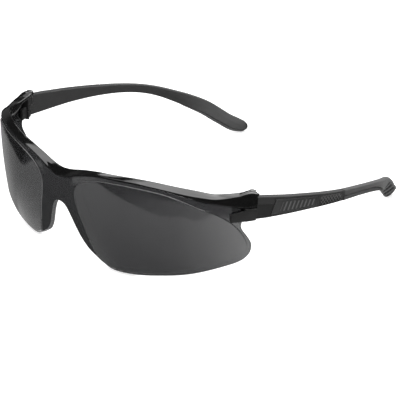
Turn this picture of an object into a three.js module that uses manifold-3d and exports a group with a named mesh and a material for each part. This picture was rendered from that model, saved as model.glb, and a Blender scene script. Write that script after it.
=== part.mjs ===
// Wraparound half-frame safety glasses: one tinted shield lens under a slim brow bar, two hinge
// lugs with screws, and two folding temple arms with side inlays and soft grips.
// Millimetres, standing on Z = 0. +Z up, +X to the wearer's left, +Y back towards the ears.
// Left-hand parts are modelled and mirrored. Until the final shift, Y = 0 and Z = 0 pass
// through the hinge origin.
import * as THREE from 'three';
import { mergeVertices } from 'three/addons/utils/BufferGeometryUtils.js';
import Module from 'manifold-3d';

const wasm = await Module();
wasm.setup();

const { clamp, degToRad, smoothstep } = THREE.MathUtils;

// ---------------------------------------------------------------- driving dimensions
const ORIGIN_Y = -28.92;         // moves the middle of the overall box to Y = 0
const ORIGIN_Z = 36.35;          // puts the lowest point on Z = 0
const BRIDGE_Y = -40;            // front of the bridge, ahead of the hinge screws

// Hinge heights are measured along the screw.
const PIN_X = 66.2;              // screw centre, out from the mid-plane
const PIN_TILT = 10.5;           // the screw leans back at the top, degrees
const PIN_R = 0.7;
const PIN_HOLE_R = PIN_R + 0.08;
const BROW_HOLE_R = PIN_HOLE_R + 0.17;
const KNUCKLE_R = 1.5;
const KNUCKLE_BOTTOM = -9.4;
const KNUCKLE_TOP = -1.25;
const TONGUE = [-6.62, -4.08];   // bottom and top of the arm's tongue
const TONGUE_GAP = 0.18;         // clearance above and below it
const BOSS_TOP = 1;              // flat top of the swelling round the screw

const LENS_T = 2;                // lens wall
const BROW_GAP = 0.35;           // lens and lug tops below the brow bar
const ZONE_PROUD = 0.45;         // how far each optic zone stands in front of the lens
const ZONE_ROOT = 0.8;           // how far it is sunk into the lens

const BROW_W = 3.4;              // brow bar depth, front to back
const BROW_END_EXTRA = 0.9;      // added depth at the hinge ends
const BROW_BACK_WALL = 0.9;      // wall behind the lens
const BROW_FRONT_WALL = 0.8;
const BROW_END = 86.6;           // half length along the plan curve

const ARM_T = 2.9;               // temple arm thickness
const ARM_FRONT_Y = -1.1;        // first arm station, before the end is squared
const TWIST = degToRad(28);      // turn of the rear blade, lower edge towards the head
const GRIP_START = 41;           // the full-height hard arm ends here
const GRIP_GAP = 0.3;            // joint line between the hard strip and the grip
const STRIP_END = 75;            // the hard lower strip ends here
const STRIP_H = 1.65;            // strip height along most of its length
const STRIP_END_H = 0.45;        // strip height at its end

const INLAY_FRONT_Y = 8.6;
const INLAY_BACK_Y = 27.4;
const INLAY_T = 0.6;
const INLAY_PROUD = 0.12;
const INLAY_GAP = 0.22;          // clearance round and under the inlay
const POCKET_CUT = 3;            // height of the pocket cutter, well clear of the arm

// ---------------------------------------------------------------- measured tables
// Plan curve of the front: [distance from the middle, heading in degrees from straight sideways].
const PLAN_HEADING = [
  [0, 0], [15, 4.3], [30, 16.9], [42, 27.1], [54, 35], [62, 47.9], [70, 56.6], [78, 64.7],
  [90, 71.5],
];

// Lower edge of the brow bar: [distance from the middle, height].
const BROW_LOW = [
  [0, -2.6], [4.9, -1.4], [9.2, 0.4], [13.5, 1.9], [23.9, 4.1], [37.2, 4.5], [49.2, 3.5],
  [60.5, 1.1], [67.9, -1.2], [75.5, -3.05], [83.3, -4.5], [88, -4.7],
];

// Top of the brow bar: [distance from the middle, front height, back height].
const BROW_TOP = [
  [0, -2.1, 0.6], [4.9, -0.9, 1.2], [9.2, 0.9, 2.2], [13.5, 2.4, 3.2], [23.9, 4.5, 4.7],
  [37.2, 4.9, 5.2], [45.3, 4.3, 4.95], [54, 3.2, 4.1], [60.5, 2, 3.3], [64.2, 1.3, 2.5],
  [70.5, 0.25, 1.2], [73.9, 0.3, 0.8], [77.4, 0.5, 0.55], [81.3, 0.5, 0.5], [88, 0.3, 0.3],
];

// Lens lower edge, from the middle outwards: [distance from the middle, height].
const LENS_LOW = [
  [0, -13.35], [1.5, -13.6], [2.96, -14.4], [4.1, -15.9], [5.1, -17.8], [7, -21.8],
  [8.79, -25.6], [10.79, -28.6], [12.99, -30.9], [15.43, -32.4], [17.62, -33.75],
  [20.39, -35.1], [22.93, -36.1], [25.73, -36.4], [28.5, -36.3], [33.75, -35.87],
  [38.69, -35.19], [43.33, -34.38], [47.73, -33.52], [52, -32.56], [56.19, -31.5],
  [60.23, -30.45], [64.08, -29.4], [67.83, -28.4], [71.55, -27.4], [75.26, -26.4],
  [77.12, -25.9], [79, -25.2], [80.91, -24.2], [82.07, -23.23], [83.06, -22],
];

// Lens outer edge, from the bottom up: [distance from the middle, height].
const LENS_OUTER = [
  [83.63, -19.9], [83.36, -18.6], [82.55, -16.9], [81.7, -15.35], [80.57, -13.66], [80, -12.6],
  [79.74, -11.66], [79.83, -10.87], [80.15, -10.2], [80.35, -9.2], [80.35, -7.4],
  [80.35, -5.4], [80, -4.4],
];

// Optic zone outline: [distance from the middle, height].
const ZONE_OUTLINE = [
  [17.81, -33], [16.33, -29.7], [15.18, -26.9], [13.75, -22.8], [12.27, -18.4], [10.7, -13.7],
  [9.67, -9.7], [9.68, -6.7], [10.32, -4.6], [11.92, -2.4], [14.25, -0.7], [17.28, 0.7],
  [20.93, 1.8], [25.32, 2.6], [29.89, 3], [35.09, 3.2], [40.04, 3.1], [44.83, 2.75],
  [49.52, 2.2], [54.13, 1.1], [58.64, -0.45], [63.08, -2.6], [68.65, -4.9], [72.4, -7],
  [75.42, -9.2], [77.32, -11], [79, -12.9], [80.6, -15.4], [81.6, -17.6], [82.1, -19.8],
  [81.6, -21.8], [79.6, -23.6], [75.9, -25.2], [70, -26.9], [62, -29], [52, -31.6],
  [42, -33.6], [33, -34.9], [26, -35.4], [21.5, -34.7],
];
const ZONE_CENTRE = [42, -17];

// Temple arm: [y, centreline height, x of the outer face, half height].
const ARM_STATIONS = [
  [-1.2, -4.92, 68.92, 4.45], [1.5, -5.35, 69.5, 4.35], [7.2, -6.25, 70.6, 4.05],
  [12.9, -7.1, 71.5, 3.65], [18.5, -7.85, 72.2, 3.3], [24, -8.6, 72.75, 2.95],
  [29.4, -9.4, 73.1, 2.65], [34.9, -10.2, 73.2, 2.35], [40.4, -11, 73, 2.1],
  [46, -11.8, 72.4, 1.9], [51.5, -12.75, 71.5, 1.75], [57, -13.9, 70.3, 1.7],
  [62.4, -15.35, 68.6, 1.75], [67.6, -17.2, 66.2, 1.95], [72.5, -19.5, 63, 2.3],
  [77.3, -22.2, 59.2, 2.75], [82.2, -25.45, 55.1, 3], [86.6, -29.25, 51.6, 3.2],
  [91.3, -32.95, 48.2, 3.2], [95.2, -34.68, 45.7, 2.6], [97.66, -35.3, 44.2, 1.5],
];
const ARM_START_Y = ARM_STATIONS[0][0];
const ARM_END_Y = ARM_STATIONS.at(-1)[0];

// Screw outline: [radius, height].
const SCREW_PROFILE = [
  [0, -9.3], [PIN_R, -9.3], [PIN_R, 1.08], [1.3, 1.08], [1.3, 1.28], [1.05, 1.5], [0.6, 1.62],
  [0, 1.66],
];

// ---------------------------------------------------------------- curves
const range = (from, to, count) => Array.from(
  { length: count + 1 },
  (_, i) => from + (to - from) * i / count,
);
const vectors = (points) => points.map(([x, y]) => new THREE.Vector2(x, y));

// Shape-preserving cubic of one table column against the first.
function cubic(rows, column = 1) {
  const xs = rows.map((row) => row[0]);
  const ys = rows.map((row) => row[column]);
  const last = xs.length - 1;
  const gaps = [];
  const rises = [];
  for (let i = 0; i < last; i++) {
    gaps.push(xs[i + 1] - xs[i]);
    rises.push((ys[i + 1] - ys[i]) / gaps[i]);
  }

  const endSlope = (gap, nextGap, rise, nextRise) => {
    const slope = ((2 * gap + nextGap) * rise - gap * nextRise) / (gap + nextGap);
    if (Math.sign(slope) !== Math.sign(rise)) return 0;
    const turns = Math.sign(rise) !== Math.sign(nextRise);
    return turns && Math.abs(slope) > 3 * Math.abs(rise) ? 3 * rise : slope;
  };
  const slopes = new Array(last + 1).fill(0);
  for (let i = 1; i < last; i++) {
    if (rises[i - 1] * rises[i] > 0) {
      const before = 2 * gaps[i] + gaps[i - 1];
      const after = gaps[i] + 2 * gaps[i - 1];
      slopes[i] = (before + after) / (before / rises[i - 1] + after / rises[i]);
    }
  }
  slopes[0] = endSlope(gaps[0], gaps[1], rises[0], rises[1]);
  slopes[last] = endSlope(gaps[last - 1], gaps[last - 2], rises[last - 1], rises[last - 2]);

  return (x) => {
    let i = 0;
    while (i < last - 1 && x > xs[i + 1]) i++;
    const t = clamp((x - xs[i]) / gaps[i], 0, 1);
    return ys[i] * (1 + 2 * t) * (1 - t) ** 2
      + slopes[i] * gaps[i] * t * (1 - t) ** 2
      + ys[i + 1] * t * t * (3 - 2 * t)
      + slopes[i + 1] * gaps[i] * t * t * (t - 1);
  };
}

// Resample a polyline at even steps along its length.
function resample(points, count) {
  const path = new THREE.CurvePath();
  const corners = vectors(points);
  for (let i = 0; i < corners.length - 1; i++) {
    path.add(new THREE.LineCurve(corners[i], corners[i + 1]));
  }
  return range(0, 1, count).map((t) => path.getPoint(t));
}

// ---------------------------------------------------------------- wrapped front surface
const PLAN_STEP = 0.25;
const PLAN_LENGTH = 92;
const heading = cubic(PLAN_HEADING.map(([along, degrees]) => [along, degToRad(degrees)]));

// Plan curve points, found by integrating the heading.
const plan = [[0, BRIDGE_Y]];
for (let along = 0; along < PLAN_LENGTH; along += PLAN_STEP) {
  const angle = heading(along + PLAN_STEP / 2);
  const [x, y] = plan.at(-1);
  plan.push([x + Math.cos(angle) * PLAN_STEP, y + Math.sin(angle) * PLAN_STEP]);
}

// A point at a distance along the front, inward from its plan curve, at height z.
// Negative distances are on the wearer's right.
function frontPoint(along, inward, z) {
  const distance = Math.abs(along);
  const steps = distance / PLAN_STEP;
  const i = Math.min(Math.floor(steps), plan.length - 2);
  const t = steps - i;
  const x = plan[i][0] * (1 - t) + plan[i + 1][0] * t;
  const y = plan[i][1] * (1 - t) + plan[i + 1][1] * t;
  const angle = heading(distance);
  const outX = x - Math.sin(angle) * inward;
  return new THREE.Vector3(along < 0 ? -outX : outX, y + Math.cos(angle) * inward, z);
}

// The lens face leans in behind the plan curve, fading out towards the sides.
function lensPoint(along, z, depth) {
  const fade = Math.max(0, 1 - (along / 80) ** 2);
  const lean = (-0.0226 * z + 0.0044 * z * z) * fade;
  return frontPoint(along, lean + depth, z);
}

// ---------------------------------------------------------------- solids
// Weld a class geometry into one closed skin.
function welded(geometry) {
  geometry.deleteAttribute('normal');
  geometry.deleteAttribute('uv');
  return mergeVertices(geometry, 1e-4);
}

function flipped(geometry) {
  const copy = geometry.clone();
  const index = geometry.index.array.slice();
  for (let i = 0; i < index.length; i += 3) {
    [index[i], index[i + 1]] = [index[i + 1], index[i]];
  }
  return copy.setIndex(new THREE.BufferAttribute(index, 1));
}

// Turn a closed skin the right way out when its signed volume is negative.
function outward(geometry) {
  const position = geometry.attributes.position;
  const index = geometry.index.array;
  const corners = [new THREE.Vector3(), new THREE.Vector3(), new THREE.Vector3()];
  let volume = 0;
  for (let i = 0; i < index.length; i += 3) {
    corners.forEach((corner, j) => corner.fromBufferAttribute(position, index[i + j]));
    volume += corners[0].dot(corners[1].cross(corners[2]));
  }
  return volume > 0 ? geometry : flipped(geometry);
}

// Move every vertex of a class geometry and close the result.
function shaped(geometry, place) {
  const position = geometry.attributes.position;
  const vertex = new THREE.Vector3();
  for (let i = 0; i < position.count; i++) {
    const moved = place(vertex.fromBufferAttribute(position, i));
    position.setXYZ(i, moved.x, moved.y, moved.z);
  }
  return outward(welded(geometry));
}

// A closed bar through numbered stations; place(station, corner) puts each section corner.
function bar(corners, steps, place) {
  const section = new THREE.Shape(vectors(corners));
  const options = { depth: steps, steps, bevelEnabled: false };
  return shaped(new THREE.ExtrudeGeometry(section, options), (v) => {
    const corner = corners.findIndex(([x, y]) => x === v.x && y === v.y);
    return place(Math.round(v.z), corner);
  });
}

function solid(geometry) {
  return new wasm.Manifold(new wasm.Mesh({
    numProp: 3,
    vertProperties: new Float32Array(geometry.attributes.position.array),
    triVerts: new Uint32Array(geometry.index.array),
  }));
}

function geometryOf(manifold) {
  const mesh = manifold.getMesh();
  const positions = new Float32Array(mesh.vertProperties);
  return new THREE.BufferGeometry()
    .setAttribute('position', new THREE.BufferAttribute(positions, 3))
    .setIndex(new THREE.BufferAttribute(new Uint32Array(mesh.triVerts), 1));
}

// Mirror a left-hand piece into its right-hand twin.
function mirrored(geometry) {
  const twin = flipped(geometry);
  const position = twin.attributes.position;
  for (let i = 0; i < position.count; i++) position.setX(i, -position.getX(i));
  return twin;
}
const mirroredSolid = (body) => solid(mirrored(geometryOf(body)));
const cutBothSides = (body, tool) => body.subtract(tool).subtract(mirroredSolid(tool));

// ---------------------------------------------------------------- hinge frame
// On the wearer's left: x outwards, back along the arm, up along the screw.
const HINGE = new THREE.Matrix4().makeTranslation(PIN_X, 0, 0)
  .multiply(new THREE.Matrix4().makeRotationX(-degToRad(PIN_TILT)));

function hingeBox({ x, back, up }) {
  const spans = [x, back, up];
  const box = new THREE.BoxGeometry(...spans.map(([low, high]) => high - low))
    .translate(...spans.map(([low, high]) => (low + high) / 2));
  return solid(welded(box.applyMatrix4(HINGE)));
}

function hingeCylinder(radius, [bottom, top]) {
  const cylinder = new THREE.CylinderGeometry(radius, radius, top - bottom, 20)
    .rotateX(Math.PI / 2)
    .translate(0, 0, (bottom + top) / 2);
  return solid(welded(cylinder.applyMatrix4(HINGE)));
}

const pinHole = hingeCylinder(PIN_HOLE_R, [-12, 4]);   // through lug and arm

// ---------------------------------------------------------------- lens
const browLow = cubic(BROW_LOW);
const browTopFront = cubic(BROW_TOP, 1);
const browTopBack = cubic(BROW_TOP, 2);

function lensShell() {
  const columns = 30;            // on each side of the middle
  const rows = 7;
  const upperEdge = [];
  for (let along = 0; along <= 79.5; along += 1.5) {
    upperEdge.push([along, browLow(along) - BROW_GAP]);
  }
  const low = resample(LENS_LOW, columns);
  const high = resample([...upperEdge, ...LENS_OUTER.toReversed()], columns);
  return shaped(new THREE.BoxGeometry(2, 1, 1, columns * 2, 1, rows), (v) => {
    const column = Math.round(Math.abs(v.x) * columns);
    const rise = v.z + 0.5;
    const from = low[column];
    const to = high[column];
    const along = from.x + (to.x - from.x) * rise;
    const z = from.y + (to.y - from.y) * rise;
    return lensPoint(Math.sign(v.x) * along, z, v.y < 0 ? 0 : LENS_T);
  });
}

// One raised optic zone: a ringed disc wrapped on to the lens face.
function opticZone(side) {
  const segments = 56;
  const rings = 5;
  const outline = resample([...ZONE_OUTLINE, ZONE_OUTLINE[0]], segments);
  const radii = Array.from({ length: rings + 1 }, (_, i) => i / rings);
  const profile = vectors([
    ...radii.map((radius) => [radius, 1]),
    ...radii.toReversed().map((radius) => [radius, 0]),
  ]);
  const [centreAlong, centreZ] = ZONE_CENTRE;
  return shaped(new THREE.LatheGeometry(profile, segments), (v) => {
    const radius = Math.min(Math.hypot(v.x, v.z), 1);
    const turn = (Math.atan2(v.z, v.x) / (2 * Math.PI) + 1) % 1;
    const rim = outline[Math.round(turn * segments) % segments];
    const along = centreAlong + (rim.x - centreAlong) * radius;
    const z = centreZ + (rim.y - centreZ) * radius;
    return lensPoint(side * along, z, v.y > 0.5 ? -ZONE_PROUD : ZONE_ROOT);
  });
}

function lensBody() {
  return solid(lensShell()).add(solid(opticZone(1))).add(solid(opticZone(-1)));
}

// ---------------------------------------------------------------- brow bar
// Section corners in order: front low, front top, back top, back low, then the step that
// takes the lens's top edge.
const BROW_SECTION = [[0, 0], [0, 2], [4, 2], [4, -2], [3, -2], [3, 1], [1, 1], [1, 0]];

function browBar() {
  const halfSteps = 34;
  return bar(BROW_SECTION, halfSteps * 2, (station, corner) => {
    const along = (station - halfSteps) / halfSteps * BROW_END;
    const distance = Math.abs(along);
    const low = browLow(distance);
    const topFront = browTopFront(distance);
    const topBack = browTopBack(distance);
    const hingeEnd = smoothstep(distance, 66, 76);   // 0 over the lens, 1 at the hinge end
    const lensEnd = 1 - hingeEnd;
    const depth = BROW_W + BROW_END_EXTRA * hingeEnd;
    const under = (low + 0.25) * lensEnd + (Math.min(topFront, topBack) - 1.15) * hingeEnd;
    const backLow = (low - 1.6) * lensEnd + (under - 0.02) * hingeEnd;
    const [inward, z] = [
      [0, low],
      [0, topFront],
      [depth, topBack],
      [depth, backLow],
      [depth - BROW_BACK_WALL, backLow],
      [depth - BROW_BACK_WALL, under],
      [BROW_FRONT_WALL, under],
      [BROW_FRONT_WALL, low],
    ][corner];
    const point = frontPoint(along, inward, z);
    // the end face leans: lower edge forward, upper edge back
    point.y += smoothstep(distance, 81, BROW_END) * (z + 2.2) * 0.36;
    return point;
  });
}

// A low swelling over the hinge screw, with a solid seat round the shank.
function screwBoss() {
  const swelling = new THREE.SphereGeometry(1, 20, 12)
    .scale(2.1, 4.2, 1.35)
    .translate(0.35, -1.5, -0.15);
  return solid(welded(swelling.applyMatrix4(HINGE)))
    .subtract(hingeBox({ x: [-9, 9], back: [-9, 9], up: [-9, -0.4] }))
    .subtract(hingeBox({ x: [-9, 9], back: [-9, 9], up: [BOSS_TOP, 9] }))
    .add(hingeCylinder(KNUCKLE_R + 0.25, [-0.72, BOSS_TOP]));
}

function browBody() {
  const foldRelief = hingeBox({ x: [-9, -1.72], back: [-0.9, 8], up: [-9, 6] });
  const boss = screwBoss().subtract(foldRelief);
  const brow = cutBothSides(solid(browBar()), foldRelief).add(boss).add(mirroredSolid(boss));
  // square the ends to the arms
  const ends = hingeBox({ x: [-9, 9], back: [1.05, 9], up: [-0.65, 9] })
    .add(hingeBox({ x: [-9, 9], back: [0.25, 9], up: [-9, -0.65] }));
  return cutBothSides(cutBothSides(brow, ends), hingeCylinder(BROW_HOLE_R, [-4, 4]));
}

// ---------------------------------------------------------------- hinge lug
// A box wrapped round the plan curve; its bottom and top may be functions of distance.
function wrappedBlock({ along, inward, bottom, top, steps }) {
  return solid(shaped(new THREE.BoxGeometry(1, 1, 1, steps, 1, 1), (v) => {
    const distance = along[0] + (along[1] - along[0]) * (v.x + 0.5);
    const height = v.z < 0 ? bottom : top;
    const z = typeof height === 'function' ? height(distance) : height;
    return frontPoint(distance, v.y < 0 ? inward[0] : inward[1], z);
  }));
}

function lugBody() {
  const clipStart = 75.4;
  const blocks = [
    // tongue clipped over the front of the lens's outer tab
    {
      along: [clipStart, 82.6],
      inward: [-1, -0.3],
      bottom: (distance) => -9.2 - (distance - clipStart) * 0.04,
      top: (distance) => -5.9 + (distance - clipStart) * 0.13,
      steps: 5,
    },
    // block beyond the tab, under the brow bar's end
    {
      along: [81.1, 85.9],
      inward: [-0.98, 1.2],
      bottom: -9.5,
      top: (distance) => browLow(distance) - BROW_GAP,
      steps: 4,
    },
    { along: [81.1, 84.4], inward: [1.1, 4.2], bottom: -9.5, top: -1, steps: 3 },
    // inner wall behind the tab
    { along: [77.2, 81.4], inward: [2.5, 3.5], bottom: -8.6, top: -4.2, steps: 3 },
  ];
  const body = blocks.map(wrappedBlock).reduce((sum, block) => sum.add(block))
    .subtract(hingeBox({ x: [-9, 1.75], back: [-0.85, 8], up: [-14, 4] }))
    .subtract(hingeBox({ x: [-9, 9], back: [0.3, 8], up: [-14, 4] }));

  // one knuckle column, split in two by the slot for the arm's tongue
  const inside = { along: [78, 88], inward: [1.15, 9], bottom: -12, top: 2, steps: 5 };
  const knuckleRoot = hingeBox({
    x: [-KNUCKLE_R, KNUCKLE_R],
    back: [-3.2, 0],
    up: [KNUCKLE_BOTTOM, -1.6],
  }).intersect(wrappedBlock(inside));
  const slot = hingeBox({
    x: [-9, 1.9],
    back: [-2.15, 9],
    up: [TONGUE[0] - TONGUE_GAP, TONGUE[1] + TONGUE_GAP],
  });
  return body
    .add(knuckleRoot)
    .add(hingeCylinder(KNUCKLE_R, [KNUCKLE_BOTTOM, KNUCKLE_TOP]))
    .subtract(slot)
    .subtract(pinHole);
}

// ---------------------------------------------------------------- hinge screw
function screwGeometry() {
  const lathe = new THREE.LatheGeometry(vectors(SCREW_PROFILE), 20).rotateX(Math.PI / 2);
  return welded(lathe).applyMatrix4(HINGE);
}

// ---------------------------------------------------------------- temple arm
const armZ = cubic(ARM_STATIONS, 1);
const armX = cubic(ARM_STATIONS, 2);
const armTop = cubic(ARM_STATIONS, 3);       // edges measured from the centreline
const armBottom = (y) => -armTop(y);

// Centre of the outer face at y, with its upward and outward directions.
function armFrame(y) {
  const reach = 0.05;
  const before = Math.max(y - reach, ARM_START_Y);
  const after = Math.min(y + reach, ARM_END_Y);
  const tangent = new THREE.Vector3(
    armX(after) - armX(before),
    after - before,
    armZ(after) - armZ(before),
  ).normalize();
  const flat = Math.hypot(tangent.y, tangent.z);
  const up = new THREE.Vector3(0, -tangent.z / flat, tangent.y / flat);
  const out = new THREE.Vector3().crossVectors(tangent, up).normalize();
  const turn = TWIST * smoothstep(y, 70, 92);
  const cos = Math.cos(turn);
  const sin = Math.sin(turn);
  return {
    centre: new THREE.Vector3(armX(y), y, armZ(y)),
    up: up.clone().multiplyScalar(cos).addScaledVector(out, sin),
    out: out.clone().multiplyScalar(cos).addScaledVector(up, -sin),
  };
}

// Chamfered section: [inward, up] pattern, from the outer face round by the lower edge.
const ARM_SECTION = [[0, -1], [1, -2], [3, -2], [4, -1], [4, 1], [3, 2], [1, 2], [0, 1]];

function armBar(stations, lower, upper, chamfer) {
  return bar(ARM_SECTION, stations.length - 1, (station, corner) => {
    const y = stations[station];
    const low = lower(y);
    const high = upper(y);
    const cut = Math.min(chamfer, (high - low) * 0.3);
    const [inward, rise] = [
      [0, low + cut],
      [cut, low],
      [ARM_T - cut, low],
      [ARM_T, low + cut],
      [ARM_T, high - cut],
      [ARM_T - cut, high],
      [cut, high],
      [0, high - cut],
    ][corner];
    const { centre, up, out } = armFrame(y);
    return centre.addScaledVector(up, rise).addScaledVector(out, -inward);
  });
}

// Top of the hard lower strip, thinning towards its end.
function stripTop(y) {
  const thinning = smoothstep(y, 60, STRIP_END);
  return armBottom(y) + (STRIP_H * (1 - thinning) + STRIP_END_H * thinning);
}

function armBody() {
  const frontStations = range(ARM_FRONT_Y, GRIP_START, 13);
  const stripStations = [GRIP_START - 2, ...range(GRIP_START + 1, STRIP_END, 11)];
  return solid(armBar(frontStations, armBottom, armTop, 0.55))
    .add(solid(armBar(stripStations, armBottom, stripTop, 0.4)))
    // clear the knuckles, square the front end and trim the top below the brow bar
    .subtract(hingeBox({ x: [-9, 1.95], back: [-9, 1.95], up: [-14, 4] }))
    .subtract(hingeBox({ x: [-9, 9], back: [-9, 0.62], up: [-14, 4] }))
    .subtract(hingeBox({ x: [-9, 9], back: [-9, 9], up: [-0.95, 6] }))
    // tongue between the knuckles
    .add(hingeBox({ x: [-0.9, 1.55], back: [0, 2.6], up: TONGUE }))
    .add(hingeBox({ x: [0, 2.6], back: [0.65, 2.6], up: TONGUE }))
    .add(hingeCylinder(KNUCKLE_R, TONGUE))
    .subtract(pinHole)
    .subtract(solid(inlayPrism(INLAY_GAP, POCKET_CUT)));
}

// ---------------------------------------------------------------- side inlay
// A flat prism across the arm's outer face, grown all round and below by the given gap.
function inlayPrism(gap, thickness) {
  const start = armFrame(INLAY_FRONT_Y);
  const end = armFrame(INLAY_BACK_Y);
  const along = end.centre.clone().sub(start.centre);
  const length = along.length();
  along.normalize();
  const meanUp = start.up.clone().add(end.up).normalize();
  const out = new THREE.Vector3().crossVectors(along, meanUp).normalize();
  const up = new THREE.Vector3().crossVectors(out, along).normalize();
  const placement = new THREE.Matrix4().makeBasis(along, up, out).setPosition(start.centre);

  const frontHalf = armTop(INLAY_FRONT_Y);
  const backHalf = armTop(INLAY_BACK_Y);
  const outline = new THREE.Shape(vectors([
    [-gap * 1.1 - 1.5, -frontHalf + 0.75 - gap],
    [length + gap, -backHalf + 0.65 - gap],
    [length + gap, backHalf - 0.85 + gap],
    [length - 0.7 + gap, backHalf - 0.75 + gap],
    [-gap * 1.1 + 0.2, frontHalf - 1 + gap],
  ]));
  const prism = new THREE.ExtrudeGeometry(outline, { depth: thickness, bevelEnabled: false })
    .translate(0, 0, -INLAY_T + INLAY_PROUD - gap);
  return welded(prism.applyMatrix4(placement));
}

// ---------------------------------------------------------------- soft grip
// Sits on the hard strip, then takes the full height of the blade behind it.
function gripGeometry() {
  const stations = [
    GRIP_START + 1.3,
    ...range(43.5, STRIP_END + 0.3, 12),
    ...range(STRIP_END + 1.5, ARM_END_Y, 12),
  ];
  const lower = (y) => (y < STRIP_END + 1 ? stripTop(y) + GRIP_GAP : armBottom(y));
  return armBar(stations, lower, armTop, 0.7);
}

// ---------------------------------------------------------------- scene graph
const FINISHES = {
  lens: { color: 0x3a3c40, roughness: 0.06, metalness: 0, transparent: true, opacity: 0.72 },
  brow: { color: 0x0d0e10, roughness: 0.16, metalness: 0 },
  matte: { color: 0x1f2124, roughness: 0.62, metalness: 0 },
  screw: { color: 0x6f7277, roughness: 0.3, metalness: 1 },
  inlay: { color: 0x303236, roughness: 0.55, metalness: 0 },
  grip: { color: 0x4a4c50, roughness: 0.75, metalness: 0 },
};

function piece(name, geometry, finish) {
  const mesh = new THREE.Mesh(geometry, new THREE.MeshStandardMaterial(FINISHES[finish]));
  mesh.name = name;
  return mesh;
}

const glasses = new THREE.Group();
glasses.position.set(0, ORIGIN_Y, ORIGIN_Z);
glasses.add(piece('lens', geometryOf(lensBody()), 'lens'));
glasses.add(piece('brow_bar', geometryOf(browBody()), 'brow'));

const lug = geometryOf(lugBody());
const screw = screwGeometry();
const arm = geometryOf(armBody());
const inlay = inlayPrism(0, INLAY_T);
const grip = gripGeometry();
for (const side of ['left', 'right']) {
  const sided = (geometry) => (side === 'left' ? geometry : mirrored(geometry));
  glasses.add(piece(`hinge_lug_${side}`, sided(lug), 'matte'));
  glasses.add(piece(`hinge_screw_${side}`, sided(screw), 'screw'));
  const temple = new THREE.Group();
  temple.add(piece(`temple_arm_${side}`, sided(arm), 'matte'));
  temple.add(piece(`side_inlay_${side}`, sided(inlay), 'inlay'));
  temple.add(piece(`temple_grip_${side}`, sided(grip), 'grip'));
  glasses.add(temple);
}

export default glasses;
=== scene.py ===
"""Wraparound half-frame safety glasses: the visible model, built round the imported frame.

The shield lens and brow bar face -y, the two arms run back along +y, the wearer's left is +x and
+z is up. Lengths are millimetres in the hinge frame (origin midway between the hinge pins) until
they are written to a mesh, which is in metres in the row frame.
"""

import math

import bmesh
import bpy
import numpy as np
from mathutils import Matrix, Vector
from mathutils.geometry import delaunay_2d_cdt


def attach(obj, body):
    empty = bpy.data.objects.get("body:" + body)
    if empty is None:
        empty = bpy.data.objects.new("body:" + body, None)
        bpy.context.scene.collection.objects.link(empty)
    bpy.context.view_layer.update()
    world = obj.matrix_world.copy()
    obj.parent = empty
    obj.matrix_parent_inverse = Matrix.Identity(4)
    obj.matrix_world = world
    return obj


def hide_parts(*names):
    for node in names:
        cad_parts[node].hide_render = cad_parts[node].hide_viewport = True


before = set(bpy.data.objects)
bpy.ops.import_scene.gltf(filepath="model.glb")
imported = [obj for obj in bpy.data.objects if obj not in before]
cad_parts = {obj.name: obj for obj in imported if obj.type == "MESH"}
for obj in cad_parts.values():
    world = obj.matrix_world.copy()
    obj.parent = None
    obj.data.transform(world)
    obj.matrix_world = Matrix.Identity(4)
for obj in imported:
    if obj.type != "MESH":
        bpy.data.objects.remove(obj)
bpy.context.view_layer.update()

DEGREE = math.pi / 180

# ---------------------------------------------------------------- driving tables (mm)
HINGE_ORIGIN = np.array([0.0, -28.92, 36.35])    # hinge-frame origin in the row frame
PIN_X, PIN_TILT = 66.2, 10.5 * DEGREE            # screw axis: place across, tilt from upright
PIN_R, PIN_HOLE_R = 0.7, 0.78
LENS_T = 2.0
LENS_EDGE_R = 0.38        # rounding between lens faces and edge
ZONE_STEP = 0.45          # how far the optic zones stand forward
ZONE_STEP_WIDTH = 0.26    # width of the slope round each zone
BROW_W, BROW_WALL = 3.4, 0.9
ARM_T = 2.9
GRIP_START, STRIP_END = 41.0, 75.0    # y where the soft grip starts and the lower strip ends
TIP_START, TIP_END = 95.7, 97.62      # y range of the grip's rounded tip
TWIST = 28 * DEGREE                   # turn of the arm towards its tip
INLAY_Y0, INLAY_Y1 = 8.6, 27.4

# Plan curve of the front: distance along it from the middle, heading in degrees
PLAN_S = [0, 15, 30, 42, 54, 62, 70, 78, 90]
PLAN_DEG = [0, 4.3, 16.9, 27.1, 35.0, 47.9, 56.6, 64.7, 71.5]
PLAN_Y0 = -40.0
PLAN_STEP = 0.05
# Brow bar: distance along the front, then heights of the front face's foot and the top's two edges
BROW_S = [0, 4.9, 9.2, 13.5, 23.9, 37.2, 49.2, 60.5, 67.9, 75.5, 83.3, 88]
BROW_LOW = [-2.6, -1.4, 0.4, 1.9, 4.1, 4.5, 3.5, 1.1, -1.2, -3.05, -4.5, -4.7]
TOP_S = [0, 4.9, 9.2, 13.5, 23.9, 37.2, 45.3, 54, 60.5, 64.2, 70.5, 73.9, 77.4, 81.3, 88]
TOP_FRONT = [-2.1, -0.9, 0.9, 2.4, 4.5, 4.9, 4.3, 3.2, 2.0, 1.3, 0.25, 0.3, 0.5, 0.5, 0.3]
TOP_BACK = [0.6, 1.2, 2.2, 3.2, 4.7, 5.2, 4.95, 4.1, 3.3, 2.5, 1.2, 0.8, 0.55, 0.5, 0.3]
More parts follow.
